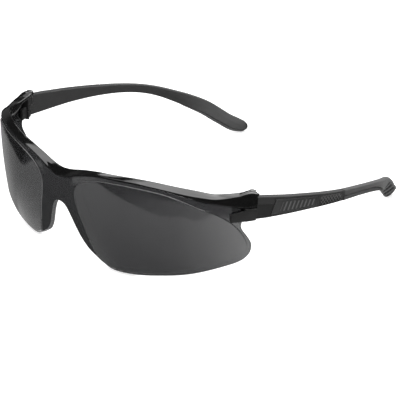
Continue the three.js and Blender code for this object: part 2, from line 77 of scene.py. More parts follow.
# Lens, left half, as (distance along the front, height): lower edge from the middle outwards
LENS_LOW = [
    (0, -13.35), (1.5, -13.6), (2.96, -14.4), (4.1, -15.9), (5.1, -17.8), (7.0, -21.8),
    (8.79, -25.6), (10.79, -28.6), (12.99, -30.9), (15.43, -32.4), (17.62, -33.75),
    (20.39, -35.1), (22.93, -36.1), (25.73, -36.4), (28.5, -36.3), (33.75, -35.87),
    (38.69, -35.19), (43.33, -34.38), (47.73, -33.52), (52, -32.56), (56.19, -31.5),
    (60.23, -30.45), (64.08, -29.4), (67.83, -28.4), (71.55, -27.4), (75.26, -26.4),
    (77.12, -25.9), (79, -25.2), (80.91, -24.2), (82.07, -23.23), (83.06, -22.0)]
# outer edge, upwards
LENS_OUT = [
    (83.63, -19.9), (83.36, -18.6), (82.55, -16.9), (81.7, -15.35), (80.57, -13.66),
    (80.0, -12.6), (79.74, -11.66), (79.83, -10.87), (80.15, -10.2), (80.35, -9.2),
    (80.35, -7.4), (80.35, -5.4), (80.0, -4.4)]
# raised optic zone, closed, starting up the nose side
ZONE = [
    (17.81, -33.0), (16.33, -29.7), (15.18, -26.9), (13.75, -22.8), (12.27, -18.4),
    (10.7, -13.7), (9.67, -9.7), (9.68, -6.7), (10.32, -4.6), (11.92, -2.4), (14.25, -0.7),
    (17.28, 0.7), (20.93, 1.8), (25.32, 2.6), (29.89, 3.0), (35.09, 3.2), (40.04, 3.1),
    (44.83, 2.75), (49.52, 2.2), (54.13, 1.1), (58.64, -0.45), (63.08, -2.6), (68.65, -4.9),
    (72.4, -7.0), (75.42, -9.2), (77.32, -11.0), (79.0, -12.9), (80.6, -15.4), (81.6, -17.6),
    (82.1, -19.8), (81.6, -21.8), (79.6, -23.6), (75.9, -25.2), (70.0, -26.9), (62.0, -29.0),
    (52.0, -31.6), (42.0, -33.6), (33.0, -34.9), (26.0, -35.4), (21.5, -34.7)]
ZONE_TOP = ZONE[8:27]
# distances inward from the zone outline at which rings of points are laid
ZONE_LEVELS = [-0.16, -0.03, 0.04, 0.09, 0.14, 0.19, 0.24, 0.30, 0.42]
# Arm stations: y, then centre height, outer face x and half height at each
ARM_Y = [-1.2, 1.5, 7.2, 12.9, 18.5, 24, 29.4, 34.9, 40.4, 46, 51.5, 57, 62.4, 67.6, 72.5, 77.3,
         82.2, 86.6, 91.3, 95.2, 97.66]
ARM_Z = [-4.92, -5.35, -6.25, -7.1, -7.85, -8.6, -9.4, -10.2, -11.0, -11.8, -12.75, -13.9,
         -15.35, -17.2, -19.5, -22.2, -25.45, -29.25, -32.95, -34.68, -35.3]
ARM_X = [68.92, 69.5, 70.6, 71.5, 72.2, 72.75, 73.1, 73.2, 73.0, 72.4, 71.5, 70.3, 68.6, 66.2,
         63.0, 59.2, 55.1, 51.6, 48.2, 45.7, 44.2]
ARM_H = [4.45, 4.35, 4.05, 3.65, 3.3, 2.95, 2.65, 2.35, 2.1, 1.9, 1.75, 1.7, 1.75, 1.95, 2.3,
         2.75, 3.0, 3.2, 3.2, 2.6, 1.5]


# ---------------------------------------------------------------- curves and frames
def cubic(stations, values):
    """Shape-preserving cubic through a table, for arrays."""
    stations, values = np.array(stations, float), np.array(values, float)
    gap = np.diff(stations)
    slope = np.diff(values) / gap
    tangent = np.zeros(len(stations))
    for i in range(1, len(stations) - 1):
        if slope[i - 1] * slope[i] > 0:
            before, after = 2 * gap[i] + gap[i - 1], gap[i] + 2 * gap[i - 1]
            tangent[i] = (before + after) / (before / slope[i - 1] + after / slope[i])

    def end(gap0, gap1, slope0, slope1):
        value = ((2 * gap0 + gap1) * slope0 - gap0 * slope1) / (gap0 + gap1)
        if np.sign(value) != np.sign(slope0):
            return 0.0
        if np.sign(slope0) != np.sign(slope1) and abs(value) > 3 * abs(slope0):
            return 3 * slope0
        return value

    tangent[0] = end(gap[0], gap[1], slope[0], slope[1])
    tangent[-1] = end(gap[-1], gap[-2], slope[-1], slope[-2])

    def curve(x):
        x = np.asarray(x, float)
        i = np.clip(np.searchsorted(stations, x, side="left") - 1, 0, len(gap) - 1)
        t = np.clip((x - stations[i]) / gap[i], 0, 1)
        return (values[i] * (1 + 2 * t) * (1 - t) ** 2 + tangent[i] * gap[i] * t * (1 - t) ** 2
                + values[i + 1] * t * t * (3 - 2 * t)
                + tangent[i + 1] * gap[i] * t * t * (t - 1))

    return curve


def smooth(start, end, x):
    """0 at start, 1 at end, eased; start may be the larger."""
    t = np.clip((np.asarray(x, float) - start) / (end - start), 0, 1)
    return t * t * (3 - 2 * t)


def mixed(first, second, t):
    return first * (1 - t) + second * t


def unit(vectors):
    return vectors / np.linalg.norm(vectors, axis=-1, keepdims=True)


def blurred(curve, sigma):
    """A curve of distance from the middle, softened so that the middle has no kink."""
    offsets = np.linspace(-2.5, 2.5, 21)
    weights = np.exp(-offsets * offsets / 2)
    weights /= weights.sum()
    return lambda along: sum(weight * curve(np.abs(np.asarray(along, float) + offset * sigma))
                             for weight, offset in zip(weights, offsets))


heading = cubic(PLAN_S, np.array(PLAN_DEG) * DEGREE)
_midway = heading(np.arange(0, 94, PLAN_STEP) + PLAN_STEP / 2)
PLAN_XS = np.concatenate([[0], np.cumsum(np.cos(_midway) * PLAN_STEP)])
PLAN_YS = np.concatenate([[PLAN_Y0], PLAN_Y0 + np.cumsum(np.sin(_midway) * PLAN_STEP)])
PLAN_ALONG = np.arange(len(PLAN_XS)) * PLAN_STEP

brow_low = blurred(cubic(BROW_S, BROW_LOW), sigma=0.9)
top_front = blurred(cubic(TOP_S, TOP_FRONT), sigma=0.9)
top_back = blurred(cubic(TOP_S, TOP_BACK), sigma=0.9)
arm_z, arm_x, arm_h = cubic(ARM_Y, ARM_Z), cubic(ARM_Y, ARM_X), cubic(ARM_Y, ARM_H)
zone_top = cubic(*zip(*ZONE_TOP))


def front(along, inward, z):
    """Points at a distance along the front (negative: the wearer's right), inward, height z."""
    along, inward, z = np.broadcast_arrays(*(np.asarray(v, float) for v in (along, inward, z)))
    side = np.abs(along)
    angle = heading(side)
    x = np.interp(side, PLAN_ALONG, PLAN_XS) - np.sin(angle) * inward
    y = np.interp(side, PLAN_ALONG, PLAN_YS) + np.cos(angle) * inward
    return np.stack([np.where(along < 0, -x, x), y, z], -1)


def arm_frame(y):
    """Centre of the outer face, and the up and outward directions, at y along the arm."""
    y = np.asarray(y, float)
    reach = 0.4
    y0, y1 = np.maximum(y - reach, ARM_Y[0]), np.minimum(y + reach, ARM_Y[-1])
    ahead = unit(np.stack([arm_x(y1) - arm_x(y0), y1 - y0, arm_z(y1) - arm_z(y0)], -1))
    flat = np.hypot(ahead[..., 1], ahead[..., 2])
    up = np.stack([np.zeros_like(flat), -ahead[..., 2] / flat, ahead[..., 1] / flat], -1)
    out = unit(np.cross(ahead, up))
    turn = TWIST * smooth(70, 92, y)[..., None]
    return (np.stack([arm_x(y), y, arm_z(y)], -1),
            up * np.cos(turn) + out * np.sin(turn), out * np.cos(turn) - up * np.sin(turn))


def arm_point(y, height, depth):
    """Points on the arm: height up the side face, depth inward from the outer face."""
    y, height, depth = np.broadcast_arrays(*(np.asarray(v, float) for v in (y, height, depth)))
    centre, up, out = arm_frame(y)
    return centre + up * height[..., None] - out * depth[..., None]


TILT_COS, TILT_SIN = math.cos(PIN_TILT), math.sin(PIN_TILT)


def to_hinge(points):
    """Left-hand points as (out from the screw, back along the arm, up along the screw)."""
    x, y, z = np.moveaxis(np.asarray(points, float), -1, 0)
    return np.stack([x - PIN_X, y * TILT_COS - z * TILT_SIN, y * TILT_SIN + z * TILT_COS], -1)


def from_hinge(points):
    out, back, up = np.moveaxis(np.asarray(points, float), -1, 0)
    return np.stack([out + PIN_X, back * TILT_COS + up * TILT_SIN,
                     -back * TILT_SIN + up * TILT_COS], -1)


def to_row(points):
    return (np.asarray(points, float) + HINGE_ORIGIN) * 0.001


# ---------------------------------------------------------------- mesh tools
def link_object(name, mesh):
    ob = bpy.data.objects.new(name, mesh)
    bpy.context.scene.collection.objects.link(ob)
    return ob


def mesh_object(name, verts, faces, mats, normals=None, face_mats=None):
    """A mesh object from hinge-frame millimetres; normals, if given, are one per vertex."""
    mesh = bpy.data.meshes.new(name)
    mesh.from_pydata(to_row(verts).tolist(), [], [tuple(map(int, face)) for face in faces])
    mesh.validate()
    mesh.update()
    mesh.shade_smooth()
    for mat in mats:
        mesh.materials.append(mat)
    # guards against validate() having dropped a face, which would shift the list
    if face_mats is not None and len(face_mats) == len(mesh.polygons):
        mesh.polygons.foreach_set("material_index", np.asarray(face_mats, np.int32))
    if normals is not None:
        mesh.normals_split_custom_set_from_vertices([tuple(normal) for normal in normals])
    return link_object(name, mesh)


def facing_out(verts, faces):
    """Turns all faces over if together they enclose a negative volume."""
    total = 0.0
    for face in faces:
        for i in range(1, len(face) - 1):
            total += np.dot(verts[face[0]], np.cross(verts[face[i]], verts[face[i + 1]]))
    return faces if total > 0 else [tuple(reversed(face)) for face in faces]


def grid_faces(rows, cols, wrap=False):
    """Quads over a block of vertices; wrap joins the last column to the first."""
    faces = []
    for i in range(rows - 1):
        this, following = i * cols, (i + 1) * cols
        for j in range(cols if wrap else cols - 1):
            k = (j + 1) % cols
            faces.append((this + j, this + k, following + k, following + j))
    return faces


def loft(rings):
    """A closed skin through rings of equal point count, with a flat face at each end."""
    rings = np.asarray(rings, float)
    count, size = rings.shape[:2]
    verts = rings.reshape(-1, 3)
    faces = grid_faces(count, size, wrap=True)
    faces.append(tuple(reversed(range(size))))
    faces.append(tuple((count - 1) * size + k for k in range(size)))
    return verts, facing_out(verts, faces)


def angle_between(first, second):
    lengths = np.linalg.norm(first) * np.linalg.norm(second)
    return math.acos(max(-1.0, min(1.0, float(first @ second) / max(lengths, 1e-12))))


def fillet(corners, radii, segments, between):
    """Rounds a polygon's corners and adds points between them, side by side.

    The point count depends only on segments and between, so stations match.
    """
    corners = [np.array(corner, float) for corner in corners]
    count = len(corners)
    steps = [k / segments for k in range(segments + 1)]
    arcs = []
    for i, corner in enumerate(corners):
        before, after = corners[i - 1] - corner, corners[(i + 1) % count] - corner
        before_length, after_length = np.linalg.norm(before), np.linalg.norm(after)
        before, after = before / max(before_length, 1e-9), after / max(after_length, 1e-9)
        angle = angle_between(before, after)
        cut = min(radii[i] / max(math.tan(angle / 2), 1e-6),
                  0.46 * before_length, 0.46 * after_length)
        start, end = corner + before * cut, corner + after * cut
        points = [start + (end - start) * t for t in steps]
        bisector = before + after
        length = np.linalg.norm(bisector)
        if angle <= math.pi - 0.02 and length >= 1e-6:
            radius = cut * math.tan(angle / 2)
            centre = corner + bisector / length * (radius / math.sin(angle / 2))
            first, last = start - centre, end - centre
            sweep = angle_between(first, last)
            if sweep >= 1e-4:
                points = [centre + (math.sin((1 - t) * sweep) * first
                                    + math.sin(t * sweep) * last) / math.sin(sweep)
                          for t in steps]
        arcs.append(points)
    outline = []
    for i, extra in enumerate(between):
        outline.extend(arcs[i])
        start, end = arcs[i][-1], arcs[(i + 1) % count][0]
        outline.extend(start + (end - start) * j / (extra + 1) for j in range(1, extra + 1))
    return np.array(outline)


def inward_normals(outline):
    """Unit directions into a closed, even polygon, one per point."""
    x, y = outline.T
    area = 0.5 * np.sum(x * np.roll(y, -1) - np.roll(x, -1) * y)
    tangent = np.roll(outline, -1, 0) - np.roll(outline, 1, 0)
    tangent /= np.maximum(np.linalg.norm(tangent, axis=1, keepdims=True), 1e-9)
    return np.stack([-tangent[:, 1], tangent[:, 0]], 1) * np.sign(area)


def inset(outline, distance):
    return outline + inward_normals(outline) * distance


def shrink_outer(section, smaller):
    """Takes the outer side of an arm section from its smaller version."""
    outer = smooth(2.3, 1.2, section[:, :1])
    return smaller * outer + section * (1 - outer)


def apply_modifiers(ob):
    """Bakes an object's modifiers into its mesh."""
    bpy.context.view_layer.update()
    graph = bpy.context.evaluated_depsgraph_get()
    mesh = bpy.data.meshes.new_from_object(ob.evaluated_get(graph))
    old = ob.data
    ob.modifiers.clear()
    ob.data = mesh
    bpy.data.meshes.remove(old)


def boolean(ob, tool, operation):
    cut = ob.modifiers.new("cut", "BOOLEAN")
    cut.operation, cut.solver, cut.object = operation, "EXACT", tool
    apply_modifiers(ob)
    bpy.data.objects.remove(tool)


def hinge_object(bm):
    """An object from a bmesh whose points are in hinge coordinates."""
    points = to_row(from_hinge(np.array([v.co[:] for v in bm.verts])))
    for vert, point in zip(bm.verts, points):
        vert.co = Vector(point)
    bmesh.ops.recalc_face_normals(bm, faces=bm.faces[:])
    mesh = bpy.data.meshes.new("tool")
    bm.to_mesh(mesh)
    bm.free()
    return link_object("tool", mesh)


def hinge_box(out, back, up, turn=0.0):
    """A block over three (low, high) ranges in hinge coordinates, turned about the screw."""
    bm = bmesh.new()
    bmesh.ops.create_cube(bm, size=1.0)
    cos_turn, sin_turn = math.cos(turn), math.sin(turn)
    for vert in bm.verts:
        x, y, z = ((low + high) / 2 + share * (high - low)
                   for share, (low, high) in zip(vert.co, (out, back, up)))
        vert.co = Vector((x * cos_turn - y * sin_turn, x * sin_turn + y * cos_turn, z))
    return hinge_object(bm)


def disc_ring(bm, radius, z, count):
    angles = [2 * math.pi * k / count for k in range(count)]
    return [bm.verts.new((radius * math.cos(angle), radius * math.sin(angle), z))
            for angle in angles]


def hinge_turned(profile, count):
    """A solid turned about the screw axis from (radius, height) points, closed on the axis."""
    bm = bmesh.new()
    rings = [disc_ring(bm, radius, up, count) if radius else [bm.verts.new((0, 0, up))]
             for radius, up in profile]
    for lower, upper in zip(rings, rings[1:]):
        for k in range(count):
            j = (k + 1) % count
            if len(lower) == 1:
                bm.faces.new((lower[0], upper[j], upper[k]))
            elif len(upper) == 1:
                bm.faces.new((lower[k], lower[j], upper[0]))
            else:
                bm.faces.new((lower[k], lower[j], upper[j], upper[k]))
    return hinge_object(bm)


def hinge_cylinder(radius, low, high):
    return hinge_turned([(0, low), (radius, low), (radius, high), (0, high)], count=48)


def finish_ends(ob, rounding=0.0):
    """Rounds the edge of a loft's end faces, if asked, and splits them into triangles."""
    bm = bmesh.new()
    bm.from_mesh(ob.data)
    if rounding:
        edges = [edge for face in bm.faces if len(face.verts) > 8 for edge in face.edges]
        bmesh.ops.bevel(bm, geom=edges, offset=rounding * 0.001, segments=2, affect="EDGES",
                        profile=0.6, clamp_overlap=True)
    bmesh.ops.triangulate(bm, faces=[face for face in bm.faces if len(face.verts) > 8])
    bm.to_mesh(ob.data)
    bm.free()


def sharpen(ob, degrees):
    ob.data.shade_smooth()
    ob.data.set_sharp_from_angle(angle=degrees * DEGREE)


def twin(ob, name):
    """The mirrored copy of a left-hand piece."""
    mesh = ob.data.copy()
    mesh.name = name
    mesh.transform(Matrix.Diagonal((-1, 1, 1, 1)))
    mesh.flip_normals()
    mesh.update()
    return link_object(name, mesh)


# ---------------------------------------------------------------- node trees
class Tree:
    """Writes a node tree as expressions; an input takes a number, a colour or a socket."""

    def __init__(self, tree):
        self.tree = tree
        tree.nodes.clear()

    def node(self, kind, inputs=None, **props):
        made = self.tree.nodes.new(kind)
        for key, value in props.items():
            setattr(made, key, value)
        for key, value in (inputs or {}).items():
            if isinstance(value, bpy.types.NodeSocket):
                self.tree.links.new(value, made.inputs[key])
            else:
                made.inputs[key].default_value = value
        return made

    def math(self, operation, first, second=0.0):
        return self.node("ShaderNodeMath", {0: first, 1: second}, operation=operation).outputs[0]

    def add(self, first, second):
        return self.math("ADD", first, second)

    def sub(self, first, second):
        return self.math("SUBTRACT", first, second)

    def mul(self, first, second):
        return self.math("MULTIPLY", first, second)

    def ramp(self, value, span, to=(0.0, 1.0), kind="SMOOTHSTEP"):
        """Maps the range span to the range to, clamped."""
        inputs = {"Value": value, "From Min": span[0], "From Max": span[1],
                  "To Min": to[0], "To Max": to[1]}
        return self.node("ShaderNodeMapRange", inputs, interpolation_type=kind).outputs[0]


class Material(Tree):
    """A material's tree. Texture coordinates are in millimetres."""

    def __init__(self, name):
        self.mat = bpy.data.materials.new(name)
        self.mat.use_nodes = True
        super().__init__(self.mat.node_tree)
        self.out = self.node("ShaderNodeOutputMaterial")
        coords = self.node("ShaderNodeTexCoord").outputs["Object"]
        self.mm = self.scaled(coords, (1000, 1000, 1000))

    def scaled(self, vector, scale):
        return self.node("ShaderNodeMapping", {"Vector": vector, "Scale": scale}).outputs["Vector"]

    def noise(self, scale, detail=4.0, rough=0.55, stretch=None):
        vector = self.scaled(self.mm, stretch) if stretch else self.mm
        inputs = {"Vector": vector, "Scale": scale, "Detail": detail, "Roughness": rough}
        return self.node("ShaderNodeTexNoise", inputs).outputs["Fac"]

    def voronoi(self, scale, feature):
        inputs = {"Vector": self.mm, "Scale": scale}
        return self.node("ShaderNodeTexVoronoi", inputs, feature=feature).outputs["Distance"]

    def attribute(self, name):
        return self.node("ShaderNodeAttribute", attribute_name=name).outputs["Fac"]

    def mix(self, factor, first, second):
        inputs = {"Factor": factor, 6: first, 7: second}
        return self.node("ShaderNodeMix", inputs, data_type="RGBA").outputs[2]

    def mix_shader(self, factor, first, second):
        return self.node("ShaderNodeMixShader", {0: factor, 1: first, 2: second}).outputs[0]

    def transparent(self, color):
        return self.node("ShaderNodeBsdfTransparent", {"Color": color}).outputs[0]

    def bevel(self, radius_mm):
        inputs = {"Radius": radius_mm * 0.001}
        return self.node("ShaderNodeBevel", inputs, samples=4).outputs["Normal"]

    def edge(self, bevel_normal):
        """0 on flats, 1 on rounded or worn edges."""
        true_normal = self.node("ShaderNodeNewGeometry").outputs["Normal"]
        dot = self.node("ShaderNodeVectorMath", {0: bevel_normal, 1: true_normal},
                        operation="DOT_PRODUCT")
        return self.ramp(self.sub(1.0, dot.outputs["Value"]), span=(0.02, 0.35))

    def bump(self, height, depth_mm, normal=None, strength=1.0):
        inputs = {"Distance": depth_mm * 0.001, "Strength": strength, "Height": height}
        if normal is not None:
            inputs["Normal"] = normal
        return self.node("ShaderNodeBump", inputs).outputs["Normal"]

    def principled(self, **values):
        names = {"color": "Base Color", "rough": "Roughness", "metal": "Metallic", "ior": "IOR",
                 "normal": "Normal", "spec": "Specular IOR Level", "sheen": "Sheen Weight",
                 "sheen_rough": "Sheen Roughness"}
        inputs = {names[key]: value for key, value in values.items()}
        return self.node("ShaderNodeBsdfPrincipled", inputs).outputs[0]

    def done(self, shader):
        self.tree.links.new(shader, self.out.inputs["Surface"])
        return self.mat


def grey(value):
    return (value, value, value, 1.0)


# ---------------------------------------------------------------- materials
def lens_material():
    """Hard-coated smoke plastic. One vertex attribute adds frosting round the nose and also dims
    the mirror there as painted shade;
    another dims the reflections on the strip under the brow as painted shade."""
    m = Material("smoke_polycarbonate")
    frost_and_painted_shade = m.attribute("frost_and_painted_shade")
    frost = m.mul(frost_and_painted_shade, 0.40)
    # a faint waviness, and a few wiped smears in the gloss
    wave = m.noise(scale=0.045, detail=2.0, rough=0.5)
    smear = m.noise(scale=0.16, detail=6.0, rough=0.6, stretch=(1.0, 1.0, 2.6))
    fine = m.noise(scale=22.0, detail=3.0, rough=0.6)
    normal = m.bump(wave, depth_mm=0.012)
    facing = m.node("ShaderNodeLayerWeight", {"Blend": 0.5, "Normal": normal}).outputs["Facing"]
    # mirror share: 5.2 % head on, rising as the fifth power towards grazing
    fresnel = m.add(m.mul(m.math("POWER", facing, 5.0), 0.95), 0.052)
    # the tint is a little deeper at slanted views, as a longer path in the smoke would be
    slant = m.ramp(facing, span=(0.25, 1.0))
    smoke = m.mix(slant, (0.178, 0.179, 0.183, 1), (0.12, 0.121, 0.124, 1))
    cloud = m.ramp(m.noise(scale=0.07, detail=3.0, rough=0.5), span=(0.3, 0.7), to=(0.97, 1.03))
    clouded = m.node("ShaderNodeVectorMath", {0: smoke, "Scale": cloud}, operation="SCALE")
    tint = m.transparent(clouded.outputs["Vector"])
    # painted shade: the mirror is dimmed on the strip under the brow, for the brow's shade, and on
    # the frosted parts
    painted_dimming = m.add(m.attribute("painted_brow_shade"), m.mul(frost_and_painted_shade, 0.92))
    keep = m.ramp(painted_dimming, span=(0.0, 1.15), to=(1.0, 0.10))
    mirror = m.node("ShaderNodeCombineColor", {0: keep, 1: keep, 2: keep}).outputs[0]
    # roughness from the smears, the frosting and a fine grain that grows with it
    smeared = m.ramp(smear, span=(0.45, 0.8), to=(0.022, 0.045))
    grain = m.mul(fine, m.add(m.mul(frost_and_painted_shade, 0.06), 0.006))
    rough = m.add(m.add(smeared, frost), grain)
    gloss = m.node("ShaderNodeBsdfGlossy",
                   {"Color": mirror, "Roughness": rough, "Normal": normal}).outputs[0]
    # a trace of body haze, so the smoke reads as a solid plastic
    haze = m.node("ShaderNodeBsdfDiffuse", {"Color": (0.03, 0.0305, 0.032, 1)}).outputs[0]
    hazed = m.mix_shader(0.25, m.mix_shader(fresnel, tint, gloss), haze)
    m.mat.blend_method = "HASHED"
    return m.done(m.mix_shader(fresnel, hazed, gloss))


def lens_edge_material():
    """The cut and polished rim of the lens; its lighter grey is painted light, for the light that
    gathers in the thickness.
    """
    m = Material("smoke_polycarbonate_rim_painted_light")
    line = m.noise(scale=3.0, detail=3.0, rough=0.6, stretch=(0.3, 0.3, 3.0))
    # painted light: the rim's grey stands for light gathered in the lens thickness
    color = m.mix(m.ramp(line, span=(0.3, 0.75)), grey(0.105), grey(0.15))
    body = m.principled(color=color, rough=m.ramp(line, span=(0.2, 0.8), to=(0.22, 0.36)),
                        ior=1.58, normal=m.bump(line, depth_mm=0.03))
    clear_share = 0.3
    return m.done(m.mix_shader(clear_share, body, m.transparent((0.3, 0.3, 0.31, 1))))


def gloss_material():
    m = Material("polished_black_plastic")
    rounded = m.bevel(radius_mm=0.12)
    edge = m.edge(rounded)
    wave = m.noise(scale=0.12, detail=2.0, rough=0.5)
    fine = m.noise(scale=14.0, detail=4.0, rough=0.6)
    smear = m.noise(scale=0.35, detail=6.0, rough=0.62, stretch=(1.0, 1.0, 2.2))
    # heights: share of the waviness, share of the grain
    height = m.add(m.mul(wave, 1.0), m.mul(fine, 0.03))
    normal = m.bump(height, depth_mm=0.06, normal=rounded)
    # edges are rougher
    rough = m.add(m.ramp(smear, span=(0.4, 0.85), to=(0.075, 0.15)), m.mul(edge, 0.12))
    body = m.mix(m.ramp(smear, span=(0.3, 0.8)), grey(0.0045), grey(0.0065))
    color = m.mix(edge, body, grey(0.022))
    return m.done(m.principled(color=color, rough=rough, ior=1.52, normal=normal))


def matte_material(name, base, texture=1.0, rough=0.56, worn=1.7):
    """Spark-eroded moulded plastic: fine pits, slight cloudiness, polished high edges.

    base is the grey level, texture scales the pits, worn is how much lighter the edges are.
    """
    m = Material(name)
    rounded = m.bevel(radius_mm=0.16)
    edge = m.edge(rounded)
    pits = m.voronoi(scale=5.5 * texture, feature="SMOOTH_F1")
    grain = m.noise(scale=9.0 * texture, detail=5.0, rough=0.65)
    cloud = m.noise(scale=0.22, detail=4.0, rough=0.55)
    rub = m.noise(scale=1.1, detail=5.0, rough=0.6)
    height = m.add(m.mul(pits, 0.7), m.mul(grain, 0.6))
    normal = m.bump(height, depth_mm=0.045, normal=rounded, strength=0.7)
    body = m.mix(m.ramp(cloud, span=(0.3, 0.72)), grey(base * 0.9), grey(base * 1.12))
    body = m.mix(m.ramp(grain, span=(0.35, 0.7)), body, grey(base * 1.18))
    wear = m.mul(edge, m.ramp(rub, span=(0.3, 0.65), to=(0.35, 1.0)))
    color = m.mix(wear, body, grey(base * worn))
    # worn parts are smoother
    grained = m.ramp(grain, span=(0.2, 0.8), to=(rough - 0.05, rough + 0.07))
    return m.done(m.principled(color=color, rough=m.sub(grained, m.mul(wear, 0.14)), ior=1.5,
                               normal=normal, spec=0.4))


def grip_material():
    """Soft-touch elastomer: fine dull grain with a faint bloom of sheen."""
    m = Material("soft_touch_elastomer")
    rounded = m.bevel(radius_mm=0.2)
    edge = m.edge(rounded)
    grain = m.noise(scale=7.0, detail=6.0, rough=0.7)
    speck = m.voronoi(scale=8.0, feature="F1")
    cloud = m.noise(scale=0.18, detail=4.0, rough=0.6)
    height = m.add(m.mul(grain, 0.8), m.mul(speck, 0.35))
    normal = m.bump(height, depth_mm=0.05, normal=rounded, strength=0.75)
    body = m.mix(m.ramp(cloud, span=(0.3, 0.7)), grey(0.029), grey(0.037))
    body = m.mix(m.ramp(grain, span=(0.4, 0.75)), body, grey(0.043))
    edge_share = m.mul(edge, 0.6)
    color = m.mix(edge_share, body, grey(0.055))
    return m.done(m.principled(color=color, rough=m.ramp(grain, span=(0.25, 0.8), to=(0.66, 0.82)),
                               ior=1.48, normal=normal, sheen=0.12, sheen_rough=0.5))


def steel_material():
    m = Material("turned_steel")
    rounded = m.bevel(radius_mm=0.05)
    edge = m.edge(rounded)
    turning = m.noise(scale=6.0, detail=4.0, rough=0.6, stretch=(1.0, 1.0, 0.15))
    fine = m.noise(scale=30.0, detail=3.0, rough=0.6)
    normal = m.bump(m.add(turning, m.mul(fine, 0.3)), depth_mm=0.012, normal=rounded)
    body = m.mix(m.ramp(turning, span=(0.3, 0.75)), grey(0.11), grey(0.17))
    return m.done(m.principled(color=m.mix(edge, body, grey(0.30)), metal=1.0, normal=normal,
                               rough=m.ramp(turning, span=(0.2, 0.8), to=(0.24, 0.38))))


def floor_material():
    m = Material("pale_floor")
    patches = m.noise(scale=0.004, detail=4.0, rough=0.5)
    grain = m.noise(scale=0.9, detail=3.0, rough=0.5)
    color = m.mix(m.ramp(patches, span=(0.3, 0.7)), grey(0.925), grey(0.94))
    surface = m.principled(color=color, rough=0.9, spec=0.0,
                           normal=m.bump(grain, depth_mm=0.02, strength=0.3))
    # a lit table top, brighter to the camera: its own light keeps the contact shadow faint
    camera_ray = m.node("ShaderNodeLightPath").outputs["Is Camera Ray"]
    strength = m.add(0.16, m.mul(camera_ray, 0.34))
    glow = m.node("ShaderNodeEmission", {"Strength": strength}).outputs[0]
    return m.done(m.node("ShaderNodeAddShader", {0: surface, 1: glow}).outputs[0])


def softbox_material():
    """Cloth whose light varies over the box in x and y (mm in the row frame)."""
    m = Material("softbox_cloth")
    weave = m.ramp(m.noise(scale=0.02, detail=3.0, rough=0.5), span=(0.3, 0.7), to=(2.0, 2.15))
    x, y, _z = m.node("ShaderNodeSeparateXYZ", {0: m.mm}).outputs
    # a hot corner towards -x and -y, on cloth that brightens towards +x
    hot = m.mul(m.ramp(x, span=(-40.0, -80.0)), m.ramp(y, span=(46.0, 16.0)))
    spread = m.mul(m.ramp(y, span=(150.0, 90.0), to=(1.0, 0.75)),
                   m.ramp(x, span=(-110.0, -10.0), to=(1.0, 2.9)))
    strength = m.add(m.mul(weave, spread), m.mul(hot, 1.6))
    return m.done(m.node("ShaderNodeEmission", {"Strength": strength}).outputs[0])


MAT = {
    "smoke_lens": lens_material(),
    # the rim material's lighter grey is painted light
    "lens_rim_painted_light": lens_edge_material(),
    "gloss_black": gloss_material(),
    "matte_black": matte_material("eroded_black_plastic", base=0.0185),
    # darker hinge plastic for the lug; on the arm's lower front by the hinge it is painted shade
    "hinge_black_and_painted_shade": matte_material("eroded_hinge_plastic_and_painted_shade", base=0.0095, rough=0.5),
    "strip_grey": matte_material("eroded_strip_plastic", base=0.046, rough=0.6),
    "inlay_grey": matte_material("moulded_grey_panel", base=0.025, texture=1.2, rough=0.5),
    # a lighter grey for the tops of the panel's ribs and the net's crests
    "inlay_rib": matte_material("lighter_rib_tops", base=0.070, texture=1.4, rough=0.46, worn=1.3),
    # painted shade: the near-black grey darkens the grip's groove floors
    "grip_groove_painted_shade": matte_material("grip_groove_floor_painted_shade", base=0.010, rough=0.7),
    "soft_grip": grip_material(),
    "screw_steel": steel_material(),
}


# ---------------------------------------------------------------- lens outline
def spline(points, step):
    """Closed centripetal Catmull-Rom through points, resampled at even steps."""
    points = np.array(points, float)
    looped = np.vstack([points[-1], points, points[0], points[1]])
    curve = []
    for i in range(1, len(looped) - 2):
        p0, p1, p2, p3 = looped[i - 1:i + 3]
        t1 = max(np.linalg.norm(p1 - p0), 1e-6) ** 0.5
        t2 = t1 + max(np.linalg.norm(p2 - p1), 1e-6) ** 0.5
        t3 = t2 + max(np.linalg.norm(p3 - p2), 1e-6) ** 0.5
        for t in np.linspace(t1, t2, 16, endpoint=False):
            a1 = p0 * (t1 - t) / t1 + p1 * t / t1
            a2 = p1 * (t2 - t) / (t2 - t1) + p2 * (t - t1) / (t2 - t1)
            a3 = p2 * (t3 - t) / (t3 - t2) + p3 * (t - t2) / (t3 - t2)
            b1 = a1 * (t2 - t) / t2 + a2 * t / t2
            b2 = a2 * (t3 - t) / (t3 - t1) + a3 * (t - t1) / (t3 - t1)
            curve.append(b1 * (t2 - t) / (t2 - t1) + b2 * (t - t1) / (t2 - t1))
    return even(np.array(curve), step)


def even(points, step):
    """Resamples a closed polyline at even steps."""
    points = np.vstack([points, points[:1]])
    lengths = np.linalg.norm(np.diff(points, axis=0), axis=1)
    distance = np.concatenate([[0], np.cumsum(lengths)])
    count = max(int(round(distance[-1] / step)), 3)
    wanted = np.linspace(0, distance[-1], count + 1)
    return np.stack([np.interp(wanted, distance, axis) for axis in points.T], 1)[:-1]


def relax(points, times):
    """Rounds the corners of a closed even polyline a little."""
    for _ in range(times):
        points = points * 0.5 + (np.roll(points, 1, 0) + np.roll(points, -1, 0)) * 0.25
    return points


def inside(outline, points):
    x, y = points[:, 0], points[:, 1]
    within = np.zeros(len(points), bool)
    for (x0, y0), (x1, y1) in zip(outline, np.roll(outline, -1, 0)):
        if y0 == y1:
            continue
        within ^= ((y0 > y) != (y1 > y)) & (x < (x1 - x0) * (y - y0) / (y1 - y0) + x0)
    return within


def distance_to(outline, points):
    """Distance from each point to a closed dense polyline."""
    nearest = np.full(len(points), 1e9)
    for k in range(0, len(outline), 64):
        gaps = np.linalg.norm(points[:, None] - outline[None, k:k + 64], axis=2)
        nearest = np.minimum(nearest, gaps.min(1))
    return nearest


